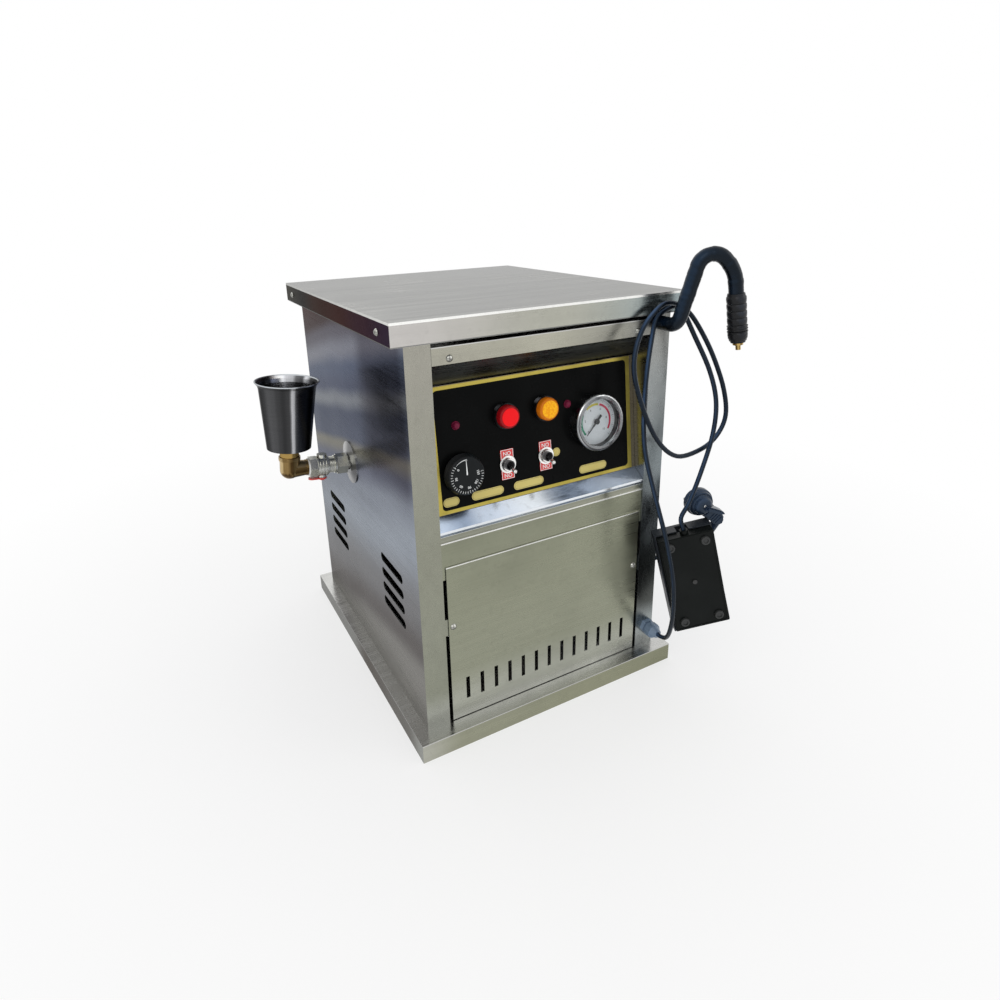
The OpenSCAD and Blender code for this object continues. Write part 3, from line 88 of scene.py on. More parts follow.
@dataclass(frozen=True)
class Place:
    """A local set of axes: its middle in mm and its three directions in the model's frame."""

    at: tuple[float, float, float]
    x: tuple[float, float, float] = (1.0, 0.0, 0.0)
    y: tuple[float, float, float] = (0.0, 1.0, 0.0)
    z: tuple[float, float, float] = (0.0, 0.0, 1.0)

    def matrix(self) -> Matrix:
        """Returns the matrix that takes local millimetres to metres in the model's frame."""
        x, y, z, at = (Vector(v) for v in (self.x, self.y, self.z, self.at))
        return Matrix(
            [[x[i] * MM, y[i] * MM, z[i] * MM, at[i] * MM] for i in range(3)] + [[0, 0, 0, 1]]
        )

    def point(self, x: float, y: float, z: float) -> Vector:
        """Returns a local point in the model's frame, in mm."""
        return Vector(self.at) + Vector(self.x) * x + Vector(self.y) * y + Vector(self.z) * z

    def moved(self, x: float, y: float, z: float) -> "Place":
        """Returns the same axes with their middle moved by local millimetres."""
        return Place(tuple(self.point(x, y, z)), self.x, self.y, self.z)

    @staticmethod
    def along(at: Sequence[float], direction: Sequence[float]) -> "Place":
        """Makes a place whose Z runs along a direction.

        Args:
            at: The middle, in mm.
            direction: Where Z points.

        Returns:
            The place, with X and Y square to the direction.
        """
        z = Vector(direction).normalized()
        side = Vector((0, 0, 1)) if abs(z.z) < 0.9 else Vector((1, 0, 0))
        x = side.cross(z).normalized()
        return Place(tuple(at), tuple(x), tuple(z.cross(x)), tuple(z))


def rounded_path(route: Sequence[Vector], bends: Sequence[float], steps: int) -> list[Vector]:
    """Rounds the corners of a bent pipe's route.

    Args:
        route: Corners, in mm.
        bends: Bend radius at each inner corner, in mm.
        steps: Pieces in each bend.

    Returns:
        Points along the pipe's centre.
    """
    points = [route[0]]
    for a, b, c, r in zip(route, route[1:], route[2:], bends):
        u, v = (a - b).normalized(), (c - b).normalized()
        half = u.angle(v) / 2
        centre = b + (u + v).normalized() * (r / math.sin(half))
        first = (b + u * (r / math.tan(half)) - centre).normalized()
        last = (b + v * (r / math.tan(half)) - centre).normalized()
        points += [centre + first.slerp(last, i / steps).normalized() * r for i in range(steps + 1)]
    return points + [route[-1]]


def even_path(points: Sequence[Vector], gap: float) -> list[Vector]:
    """Cuts a path into even steps.

    Args:
        points: The path, in mm.
        gap: Rough length of a step, in mm.

    Returns:
        Evenly spaced points with both ends kept.
    """
    lengths = [0.0]
    for a, b in zip(points, points[1:]):
        lengths.append(lengths[-1] + (b - a).length)
    count = max(2, round(lengths[-1] / gap))
    made, k = [], 0
    for i in range(count + 1):
        want = lengths[-1] * i / count
        while k < len(points) - 2 and lengths[k + 1] < want:
            k += 1
        t = (want - lengths[k]) / max(lengths[k + 1] - lengths[k], 1e-9)
        made.append(points[k].lerp(points[k + 1], t))
    return made


class Draft:
    """A mesh being drawn in local millimetres, with a material number on each face."""

    def __init__(self) -> None:
        """Starts an empty mesh."""
        self.points: list[Vector] = []
        self.faces: list[tuple[int, ...]] = []
        self.paint: list[int] = []

    def add(self, points: Sequence[Sequence[float]], faces: Sequence[Sequence[int]], paint: int = 0) -> None:
        """Adds points and the faces between them.

        Args:
            points: Corners, in local mm.
            faces: The corners of each face, counted from 0.
            paint: Material number.
        """
        base = len(self.points)
        self.points += [Vector(p) for p in points]
        self.faces += [tuple(base + i for i in f) for f in faces]
        self.paint += [paint] * len(faces)

    def lathe(self, profile: Sequence[tuple[float, float]], sides: int = 64, paint: int = 0,
              place: Place | None = None) -> None:
        """Turns a closed outline round local Z.

        Args:
            profile: Radius and height of each corner. A radius of 0 is a pole.
            sides: Faces round the turn.
            paint: Material number.
            place: Local axes to turn round, if not the draft's own.
        """
        points, rings = [], []
        for r, z in profile:
            if r < 1e-6:
                rings.append([len(points)])
                points.append((0.0, 0.0, z))
                continue
            rings.append(list(range(len(points), len(points) + sides)))
            points += [(r * math.cos(t), r * math.sin(t), z)
                       for t in (math.tau * i / sides for i in range(sides))]
        faces = []
        for a, b in zip(rings, rings[1:]):
            for i in range(sides):
                j = (i + 1) % sides
                quad = [a[i % len(a)], a[j % len(a)], b[j % len(b)], b[i % len(b)]]
                kept = [v for k, v in enumerate(quad) if v != quad[k - 1]]
                if len(set(kept)) > 2:
                    faces.append(kept)
        if place is not None:
            points = [place.point(*p) for p in points]
        self.add(points, faces, paint)

    def prism(self, outline: Sequence[tuple[float, float]], z0: float, z1: float, paint: int = 0,
              place: Place | None = None) -> None:
        """Adds a closed prism over an outline in local X and Y.

        Args:
            outline: Corners of the outline.
            z0: Its foot.
            z1: Its top.
            paint: Material number.
            place: Local axes to draw in, if not the draft's own.
        """
        n = len(outline)
        points = [(x, y, z) for z in (z0, z1) for x, y in outline]
        faces = [list(range(n))[::-1], list(range(n, 2 * n))]
        faces += [[i, (i + 1) % n, n + (i + 1) % n, n + i] for i in range(n)]
        if place is not None:
            points = [place.point(*p) for p in points]
        self.add(points, faces, paint)

    def frame_ring(self, outer: Sequence[tuple[float, float]], inner: Sequence[tuple[float, float]],
                   z0: float, z1: float, paint: int = 0) -> None:
        """Adds a closed ring between two outlines with as many corners.

        Args:
            outer: Outer outline.
            inner: Inner outline.
            z0: Its foot.
            z1: Its top.
            paint: Material number.
        """
        n = len(outer)
        points = [(x, y, z) for z in (z0, z1) for loop in (outer, inner) for x, y in loop]
        faces = []
        for i in range(n):
            j = (i + 1) % n
            faces += [[2 * n + i, 2 * n + j, 3 * n + j, 3 * n + i], [j, i, n + i, n + j],
                      [i, j, 2 * n + j, 2 * n + i], [n + j, n + i, 3 * n + i, 3 * n + j]]
        self.add(points, faces, paint)

    def printed_line(self, outer: Sequence[tuple[float, float]], inner: Sequence[tuple[float, float]],
                     at: tuple[float, float], z: float) -> None:
        """Adds the flat ring between two outlines with as many corners.

        Args:
            outer: Outer outline.
            inner: Inner outline.
            at: Middle of both, in local X and Y.
            z: Height of the print.
        """
        n = len(outer)
        points = [(at[0] + x, at[1] + y, z) for loop in (outer, inner) for x, y in loop]
        self.add(points, [[i, (i + 1) % n, n + (i + 1) % n, n + i] for i in range(n)])

    def tube(self, path: Sequence[Vector], radii: Sequence[float], sides: int = 20, paint: int = 0) -> None:
        """Sweeps a round tube with closed ends along a path.

        Args:
            path: Centre points.
            radii: Radius at each point.
            sides: Faces round the tube.
            paint: Material number.
        """
        n = len(path)
        runs = [(path[min(i + 1, n - 1)] - path[max(i - 1, 0)]).normalized() for i in range(n)]
        side = Vector((0, 0, 1)) if abs(runs[0].z) < 0.9 else Vector((1, 0, 0))
        u = side.cross(runs[0]).normalized()
        points = []
        for i, (p, d, r) in enumerate(zip(path, runs, radii)):
            u = (u - d * u.dot(d)).normalized()
            v = d.cross(u)
            points += [p + (u * math.cos(t) + v * math.sin(t)) * r
                       for t in (math.tau * k / sides for k in range(sides))]
        faces = [[i * sides + k, i * sides + (k + 1) % sides, (i + 1) * sides + (k + 1) % sides,
                  (i + 1) * sides + k] for i in range(n - 1) for k in range(sides)]
        points += [path[0], path[-1]]
        a, b = n * sides, n * sides + 1
        faces += [[a, (k + 1) % sides, k] for k in range(sides)]
        faces += [[b, (n - 1) * sides + k, (n - 1) * sides + (k + 1) % sides] for k in range(sides)]
        self.add(points, faces, paint)

    def band(self, radius: float, width: float, first: float, last: float, z: float, paint: int = 0,
             thin: float | None = None, steps: int = 48) -> None:
        """Adds a flat printed arc, from one angle to another in degrees.

        Args:
            radius: Middle radius.
            width: Width at the first angle.
            first: First angle, anticlockwise from local X.
            last: Last angle.
            z: Height of the print.
            paint: Material number.
            thin: Width at the last angle, if it differs.
            steps: Pieces in the arc.
        """
        if last < first:
            first, last = last, first
            width, thin = (width if thin is None else thin), width
        thin = width if thin is None else thin
        points = []
        for i in range(steps + 1):
            t, w = math.radians(first + (last - first) * i / steps), width + (thin - width) * i / steps
            for r in (radius - w / 2, radius + w / 2):
                points.append((r * math.cos(t), r * math.sin(t), z))
        self.add(points, [[2 * i, 2 * i + 1, 2 * i + 3, 2 * i + 2] for i in range(steps)], paint)

    def words(self, text: str, height: float, place: Place, paint: int = 0) -> None:
        """Adds flat figures or letters.

        Args:
            text: The figures.
            height: Height of a capital, in mm.
            place: Their middle and directions, in local mm.
            paint: Material number.
        """
        curve = bpy.data.curves.new("figures", "FONT")
        curve.body, curve.size, curve.align_x, curve.align_y = text, height * CAPITAL_SIZE, "CENTER", "CENTER"
        curve.resolution_u = 3
        curve.offset = INK_SPREAD * height
        made = bpy.data.objects.new("figures", curve)
        bpy.context.scene.collection.objects.link(made)
        mesh = bpy.data.meshes.new_from_object(made.evaluated_get(bpy.context.evaluated_depsgraph_get()))
        self.add([place.point(*v.co) for v in mesh.vertices], [list(p.vertices) for p in mesh.polygons],
                 paint)
        bpy.data.objects.remove(made)
        bpy.data.meshes.remove(mesh)
        bpy.data.curves.remove(curve)

    def finish(self, name: str, place: Place, finishes: Sequence["Finish"], body: Body = Body.CABINET,
               slot: str = "", replaces: Sequence[str] = (), flat: bool = False, printed: bool = False,
               sharp: float = 35.0) -> bpy.types.Object:
        """Turns the draft into a finished piece.

        Args:
            name: The piece's name.
            place: Where the local axes lie.
            finishes: One finish for each material number.
            body: The body it rides on.
            slot: The record's material slot; not used.
            replaces: CAD nodes that it stands for.
            flat: Whether its facets stay flat.
            printed: Whether it is an open print, whose faces already point the right way.
            sharp: Angle past which an edge stays sharp, in degrees.

        Returns:
            The piece's object.
        """
        mesh = bpy.data.meshes.new(name)
        mesh.from_pydata(self.points, [], self.faces)
        for polygon, paint in zip(mesh.polygons, self.paint):
            polygon.material_index = paint
        for finish in finishes:
            mesh.materials.append(finish.material())
        return settle(name, mesh, place, body, replaces, flat, printed, sharp)


def settle(name: str, mesh: bpy.types.Mesh, place: Place, body: Body,
           replaces: Sequence[str] = (), flat: bool = False, printed: bool = False,
           sharp: float = 35.0) -> bpy.types.Object:
    """Puts a mesh in its place, closes and smooths it, and lets it ride on its body.

    Args:
        name: The piece's name.
        mesh: The mesh, in local millimetres.
        place: Where the local axes lie.
        body: The body it rides on.
        replaces: CAD nodes that it stands for.
        flat: Whether its facets stay flat.
        printed: Whether it is an open print.
        sharp: Angle past which an edge stays sharp, in degrees.

    Returns:
        The piece's object, at the origin.
    """
    mesh.transform(place.matrix())
    work = bmesh.new()
    work.from_mesh(mesh)
    if not printed:
        bmesh.ops.remove_doubles(work, verts=work.verts, dist=2e-6)
        bmesh.ops.recalc_face_normals(work, faces=work.faces)
    for face in work.faces:
        face.smooth = not flat
    work.to_mesh(mesh)
    work.free()
    if not flat:
        mesh.set_sharp_from_angle(angle=math.radians(sharp))
    mesh.validate()
    made = bpy.data.objects.new(name, mesh)
    bpy.context.scene.collection.objects.link(made)
    if replaces:
        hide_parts(*replaces)
    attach(made, body.value)
    LOG.info("%s: %d faces on %s", name, len(mesh.polygons), body.value)
    return made


def oblong(half_x: float, half_y: float, radius: float, steps: int = 6) -> list[tuple[float, float]]:
    """Returns the outline of a rectangle with round corners, centred on the origin."""
    corners = [(1, 1, 0), (-1, 1, 90), (-1, -1, 180), (1, -1, 270)]
    return [(sx * (half_x - radius) + radius * math.cos(math.radians(a + 90 * i / steps)),
             sy * (half_y - radius) + radius * math.sin(math.radians(a + 90 * i / steps)))
            for sx, sy, a in corners for i in range(steps + 1)]


def ring_profile(radius: float, thick: float, z: float, sides: int = 8) -> list[tuple[float, float]]:
    """Returns a closed round section for a ring, as a lathe's outline."""
    return [(radius + thick * math.cos(math.tau * i / sides), z + thick * math.sin(math.tau * i / sides))
            for i in range(sides + 1)]


def bar(x0: float, x1: float, half: float, z: float) -> Draft:
    """Draws one flat printed mark along local X.

    Args:
        x0: Its first end.
        x1: Its last end.
        half: Half its width.
        z: Height of the print.

    Returns:
        The draft of the mark.
    """
    draft = Draft()
    draft.add([(x0, -half, z), (x1, -half, z), (x1, half, z), (x0, half, z)], [[0, 1, 2, 3]])
    return draft


# ---------------------------------------------------------------- node trees


class Graph:
    """A short way to fill a node tree."""

    def __init__(self, tree: bpy.types.NodeTree) -> None:
        """Keeps the tree that is filled."""
        self.tree = tree

    def feed(self, socket: bpy.types.NodeSocket, value: object) -> None:
        """Links a socket into another, or sets its value.

        Args:
            socket: The input that is fed.
            value: A socket, a plain value, or None to leave it.
        """
        if isinstance(value, bpy.types.NodeSocket):
            self.tree.links.new(value, socket)
        elif value is not None:
            socket.default_value = value

    def add(self, kind: str, inputs: dict[str | int, object] | None = None,
            **settings: object) -> bpy.types.Node:
        """Adds a node, sets its options and feeds its inputs.

        Args:
            kind: The node's type.
            inputs: What each input is fed, by name or number.
            **settings: The node's options.

        Returns:
            The node.
        """
        node = self.tree.nodes.new(kind)
        for name, value in settings.items():
            setattr(node, name, value)
        for key, value in (inputs or {}).items():
            self.feed(node.inputs[key], value)
        return node

    def math(self, operation: str, a: object, b: object = None, clamp: bool = False) -> bpy.types.NodeSocket:
        """Returns the result of a Math node."""
        return self.add("ShaderNodeMath", {0: a, 1: b}, operation=operation, use_clamp=clamp).outputs[0]

    def vector(self, operation: str, a: object, b: object) -> bpy.types.NodeSocket:
        """Returns the vector that a Vector Math node makes."""
        return self.add("ShaderNodeVectorMath", {0: a, 1: b}, operation=operation).outputs[0]

    def parts(self, vector: object) -> bpy.types.bpy_prop_collection:
        """Returns a vector's X, Y and Z."""
        return self.add("ShaderNodeSeparateXYZ", {0: vector}).outputs

    def mix(self, factor: object, a: object, b: object, blend: str = "MIX") -> bpy.types.NodeSocket:
        """Returns the colour that a Mix node makes."""
        return self.add("ShaderNodeMix", {0: factor, 6: a, 7: b}, data_type="RGBA",
                        blend_type=blend).outputs[2]

    def noise(self, vector: object, scale: object, detail: float = 2.0,
              rough: float = 0.5) -> bpy.types.NodeSocket:
        """Returns a noise value from 0 to 1."""
        return self.add("ShaderNodeTexNoise", {"Vector": vector, "Scale": scale, "Detail": detail,
                                               "Roughness": rough}).outputs[0]

    def ranged(self, value: object, a: float, b: float, c: object = 0.0,
               d: object = 1.0) -> bpy.types.NodeSocket:
        """Returns a value moved from one range to another, and kept inside it."""
        return self.add("ShaderNodeMapRange", {0: value, 1: a, 2: b, 3: c, 4: d}).outputs[0]

    def ramp(self, factor: object, stops: Stops, smooth: bool = True) -> bpy.types.NodeSocket:
        """Runs a factor through a run of colours.

        Args:
            factor: What picks the colour, from 0 to 1.
            stops: Each colour and its place.
            smooth: Whether one colour eases into the next.

        Returns:
            The colour.
        """
        node = self.add("ShaderNodeValToRGB", {0: factor})
        node.color_ramp.interpolation = "EASE" if smooth else "LINEAR"
        marks = node.color_ramp.elements
        while len(marks) < len(stops):
            marks.new(0.5)
        for mark, (place, colour) in zip(marks, stops):
            mark.position, mark.color = place, (*colour, 1.0)
        return node.outputs[0]

    def own_place(self) -> bpy.types.NodeSocket:
        """Returns the piece's own coordinates, in metres."""
        return self.add("ShaderNodeTexCoord").outputs["Object"]

    def own_normal(self) -> bpy.types.NodeSocket:
        """Returns the piece's own surface direction."""
        return self.add("ShaderNodeTexCoord").outputs["Normal"]


class Effects:
    """Shader node groups that several finishes share, each built once."""

    made: dict[str, bpy.types.NodeTree] = {}

    @classmethod
    def _start(cls, name: str, inputs: dict[str, object], outputs: Sequence[str]) -> tuple[Graph, object,
            object] | None:
        """Starts a group.

        Args:
            name: The group's name.
            inputs: Its inputs and their first values.
            outputs: Its outputs.

        Returns:
            The graph, its inputs and its outputs, or None where the group stands already.
        """
        if name in cls.made:
            return None
        tree = bpy.data.node_groups.new(name, "ShaderNodeTree")
        for key, value in inputs.items():
            kind = "NodeSocketVector" if isinstance(value, tuple) else "NodeSocketFloat"
            tree.interface.new_socket(key, in_out="INPUT", socket_type=kind).default_value = value
        for key in outputs:
            tree.interface.new_socket(key, in_out="OUTPUT", socket_type="NodeSocketFloat")
        cls.made[name] = tree
        graph = Graph(tree)
        return graph, graph.add("NodeGroupInput").outputs, graph.add("NodeGroupOutput").inputs

    @classmethod
    def brushed_grain(cls) -> bpy.types.NodeTree:
        """Makes fine parallel scratches: a tone and a height, drawn out by the inputs.

        Returns:
            The group.
        """
        if started := cls._start("brushed_grain", {"Stretch": (400.0, 8.0, 400.0), "Seed": 0.0},
                                 ("Tone", "Height")):
            g, a, b = started
            moved = g.vector("MULTIPLY", g.own_place(), a["Stretch"])
            moved = g.vector("ADD", moved, a["Seed"])
            fine, coarse = g.noise(moved, 2.0, 3.0, 0.6), g.noise(moved, 0.35, 2.0)
            tone = g.math("ADD", g.math("MULTIPLY", fine, 0.55), g.math("MULTIPLY", coarse, 0.45))
            g.feed(b["Tone"], g.ranged(tone, 0.34, 0.66))
            g.feed(b["Height"], fine)
        return cls.made["brushed_grain"]

    @classmethod
    def hand_marks(cls) -> bpy.types.NodeTree:
        """Makes a soft mask of smears and water marks.

        Returns:
            The group.
        """
        if started := cls._start("hand_marks", {"Scale": 9.0, "Seed": 0.0}, ("Mask",)):
            g, a, b = started
            place = g.vector("ADD", g.own_place(), a["Seed"])
            broad = g.noise(place, a["Scale"], 4.0, 0.6)
            spots = g.noise(place, g.math("MULTIPLY", a["Scale"], 14.0), 1.0)
            worn = g.math("MULTIPLY", g.ranged(spots, 0.58, 0.72), 0.35)
            g.feed(b["Mask"], g.math("ADD", g.ranged(broad, 0.45, 0.75), worn, clamp=True))
        return cls.made["hand_marks"]

    @classmethod
    def moulded_grain(cls) -> bpy.types.NodeTree:
        """Makes the fine pebble of moulded plastic or rubber: a tone and a height.

        Returns:
            The group.
        """
        if started := cls._start("moulded_grain", {"Scale": 900.0}, ("Tone", "Height")):
            g, a, b = started
            place = g.own_place()
            g.feed(b["Height"], g.noise(place, a["Scale"], 2.0))
            g.feed(b["Tone"], g.ranged(g.noise(place, g.math("MULTIPLY", a["Scale"], 0.04), 3.0), 0.3, 0.7))
        return cls.made["moulded_grain"]

    @classmethod
    def side_masks(cls) -> bpy.types.NodeTree:
        """Makes masks of how far a surface faces sideways, up and down.

        Returns:
            The group.
        """
        if started := cls._start("side_masks", {"Edge": 0.5}, ("Side", "Flat", "Rise")):
            g, a, b = started
            parts = g.parts(g.own_normal())
            for name, part in (("Side", parts[0]), ("Flat", parts[2])):
                size = g.math("ABSOLUTE", part)
                g.feed(b[name], g.ranged(g.math("SUBTRACT", size, a["Edge"]), -0.06, 0.06))
            g.feed(b["Rise"], g.ranged(parts[2], -1.0, 1.0))
        return cls.made["side_masks"]

    @classmethod
    def shine_bands(cls) -> bpy.types.NodeTree:
        """Makes the broad light and dark bands of a painted reflection on bright metal, from the surface's
        own direction.

        Returns:
            The group.
        """
        if started := cls._start("shine_bands", {"Breadth": 1.4, "Seed": 0.0}, ("Tone",)):
            g, a, b = started
            normal = g.own_normal()
            moved = g.vector("ADD", normal, a["Seed"])
            rise = g.parts(normal)[2]
            cloud = g.ranged(g.noise(moved, a["Breadth"], 2.0, 0.45), 0.36, 0.64)
            lift = g.ranged(rise, -0.5, 0.9)
            g.feed(b["Tone"], g.math("ADD", g.math("MULTIPLY", cloud, 0.62), g.math("MULTIPLY", lift, 0.38)))
        return cls.made["shine_bands"]

    @classmethod
    def place(cls, graph: Graph, name: str, **inputs: object) -> object:
        """Places a group in a material with that material's own values.

        Args:
            graph: The material's tree.
            name: The group's name.
            **inputs: What each input is fed.

        Returns:
            The group's outputs.
        """
        node = graph.add("ShaderNodeGroup", node_tree=getattr(cls, name)())
        for key, value in inputs.items():
            graph.feed(node.inputs[key], value)
        return node.outputs


# ---------------------------------------------------------------- finishes


@dataclass(frozen=True)
class Finish:
    """What a surface is made of. Each kind fills its own material."""

    name: str

    def material(self) -> bpy.types.Material:
        """Makes the finish's material the first time that it is asked for.

        Returns:
            The material.
        """
        found = bpy.data.materials.get(self.name)
        if found is not None:
            return found
        made = bpy.data.materials.new(self.name)
        made.use_nodes = True
        made.node_tree.nodes.clear()
        graph = Graph(made.node_tree)
        shader = graph.add("ShaderNodeBsdfPrincipled")
        graph.add("ShaderNodeOutputMaterial", {"Surface": shader.outputs[0]})
        self.fill(graph, shader)
        return made

    def fill(self, graph: Graph, shader: bpy.types.Node) -> None:
        """Fills the material's nodes.

        Args:
            graph: The material's tree.
            shader: Its surface shader.
        """
        raise NotImplementedError


def bump(graph: Graph, shader: bpy.types.Node, height: bpy.types.NodeSocket, strength: float,
         depth: float) -> None:
    """Raises a surface by a height, with the depth in metres."""
    node = graph.add("ShaderNodeBump", {"Strength": strength, "Distance": depth, "Height": height})
    graph.feed(shader.inputs["Normal"], node.outputs[0])


@dataclass(frozen=True)
class Tone:
    """How a metal's colour runs along one axis, between two places in mm: a painted reflection of light and
    dark bands.
    """

    axis: Axis
    start: float
    end: float
    stops: Stops
    warp: float = 0.05
    lean: float = 0.0

    def colour(self, graph: Graph, place: bpy.types.NodeSocket,
               cloud: bpy.types.NodeSocket) -> bpy.types.NodeSocket:
        """Makes the colour at a place, shifted a little by a cloud.

        Args:
            graph: The material's tree.
            place: The piece's own coordinates.
            cloud: A soft noise.

        Returns:
            The colour.
        """
        parts = graph.parts(place)
        along = parts[self.axis.value]
        if self.lean:
            along = graph.math("ADD", along, graph.math("MULTIPLY", parts[1], self.lean))
        part = graph.ranged(along, self.start * MM, self.end * MM)
        shift = graph.math("MULTIPLY", graph.math("SUBTRACT", cloud, 0.5), self.warp * 2)
        return graph.ramp(graph.math("ADD", part, shift, clamp=True), self.stops)


def plain(colour: Colour, other: Colour | None = None) -> Tone:
    """Returns a tone that hardly changes from one side of the machine to the other."""
    return Tone(Axis.X, -200.0, 200.0, ((0.0, colour), (1.0, other or colour)))


@dataclass(frozen=True)
class SheetSteel(Finish):
    """Stainless sheet: on each side a run of colour that paints its reflection, so front, sides and top
    differ in painted light; painted edge highlights and shadow lines, brushing, smears and a satin shine.
    """

    side: Tone = plain((0.30, 0.31, 0.32))
    front: Tone = plain((0.30, 0.30, 0.26))
    top: Tone = plain((0.42, 0.46, 0.46))
    grain: tuple[float, float, float] = (6.0, 500.0, 500.0)
    streak: float = 0.16
    roughness: float = 0.3
    marks: float = 0.12
    seed: float = 0.0
    # Painted patches of reflection on the top.
    patches: Tone | None = None
    shade: Tone | None = None
    shade_above: float = 0.0
    # Lines across an axis: place and half width in mm, and brightness; bright ones are painted highlights on
    # rounded edges, a dark one a painted shadow line.
    folds: tuple[tuple[Axis, float, float, float], ...] = ()
    edge: float = 0.5

    def fill(self, graph: Graph, shader: bpy.types.Node) -> None:
        """Fills the material's nodes.

        Args:
            graph: The material's tree.
            shader: Its surface shader.
        """
        place = graph.own_place()
        cloud = graph.noise(place, 5.0, 2.0)
        masks = Effects.place(graph, "side_masks")
        grain = Effects.place(graph, "brushed_grain", Stretch=self.grain, Seed=self.seed)
        marks = Effects.place(graph, "hand_marks", Seed=self.seed)["Mask"]
        top = self.top.colour(graph, place, cloud)
        # Soft patches of another painted reflection on the top.
        if self.patches is not None:
            seen = graph.noise(graph.vector("MULTIPLY", place, (6.0, 2.2, 6.0)), 1.6, 1.0)
            top = graph.mix(graph.ranged(seen, 0.46, 0.56), top, self.patches.colour(graph, place, cloud))
        side = self.side.colour(graph, place, cloud)
        if self.shade is not None:
            height = graph.parts(place)[2]
            above = graph.ranged(height, (self.shade_above - SHADE_BLEND) * MM,
                                 (self.shade_above + SHADE_BLEND) * MM)
            side = graph.mix(above, side, self.shade.colour(graph, place, cloud), "MULTIPLY")
        # The front, the sides and the top each take their own painted reflection, so a face is lighter or
        # darker by the way it faces.
        colour = graph.mix(masks["Side"], self.front.colour(graph, place, cloud), side)
        colour = graph.mix(masks["Flat"], colour, top)
        parts = graph.parts(place)
        # Painted highlights along rounded edges, and painted shadow lines.
        for axis, at, half, light in self.folds:
            node = graph.add("ShaderNodeMath", {0: parts[axis.value], 1: at * MM, 2: half * MM},
                             operation="COMPARE")
            colour = graph.mix(node.outputs[0], colour, (light, light, 0.97 * light, 1.0))
        tone = graph.ranged(grain["Tone"], 0.0, 1.0, 1.0 - self.streak, 1.0 + self.streak)
        colour = graph.mix(1.0, colour, tone, "MULTIPLY")
        dull = graph.ranged(marks, 0.0, 1.0, 1.0, 1.0 - self.marks)
        graph.feed(shader.inputs["Base Color"], graph.mix(1.0, colour, dull, "MULTIPLY"))
        rough = graph.math("ADD", graph.ranged(grain["Tone"], 0.0, 1.0, self.roughness - 0.05,
                                               self.roughness + 0.07),
                           graph.math("MULTIPLY", marks, 0.1))
        graph.feed(shader.inputs["Roughness"], rough)
        graph.feed(shader.inputs["Metallic"], 1.0)
        graph.feed(shader.inputs["Specular Tint"], (self.edge, self.edge, self.edge, 1.0))
        bump(graph, shader, grain["Height"], 0.1, 0.0001)


@dataclass(frozen=True)
class BrightMetal(Finish):
    """Chrome, polished brass or turned steel, with the light and dark bands of a painted reflection."""

    dark: Colour = (0.06, 0.06, 0.065)
    middle: Colour = (0.36, 0.37, 0.38)
    light: Colour = (0.85, 0.86, 0.86)
    roughness: float = 0.16
    breadth: float = 1.4
    wear: float = 0.2
    seed: float = 0.0

    def fill(self, graph: Graph, shader: bpy.types.Node) -> None:
        """Fills the material's nodes.

        Args:
            graph: The material's tree.
            shader: Its surface shader.
        """
        bands = Effects.place(graph, "shine_bands", Breadth=self.breadth, Seed=self.seed)["Tone"]
        marks = Effects.place(graph, "hand_marks", Scale=60.0, Seed=self.seed)["Mask"]
        colour = graph.ramp(bands, ((0.12, self.dark), (0.45, self.middle), (0.78, self.light)))
        colour = graph.mix(1.0, colour, graph.ranged(marks, 0.0, 1.0, 1.0, 1.0 - self.wear), "MULTIPLY")
        graph.feed(shader.inputs["Base Color"], colour)
        graph.feed(shader.inputs["Roughness"], graph.ranged(marks, 0.0, 1.0, self.roughness,
            self.roughness + 0.2))
        graph.feed(shader.inputs["Metallic"], 1.0)
        bump(graph, shader, graph.noise(graph.own_place(), 1800.0, 2.0), 0.12, 0.00008)


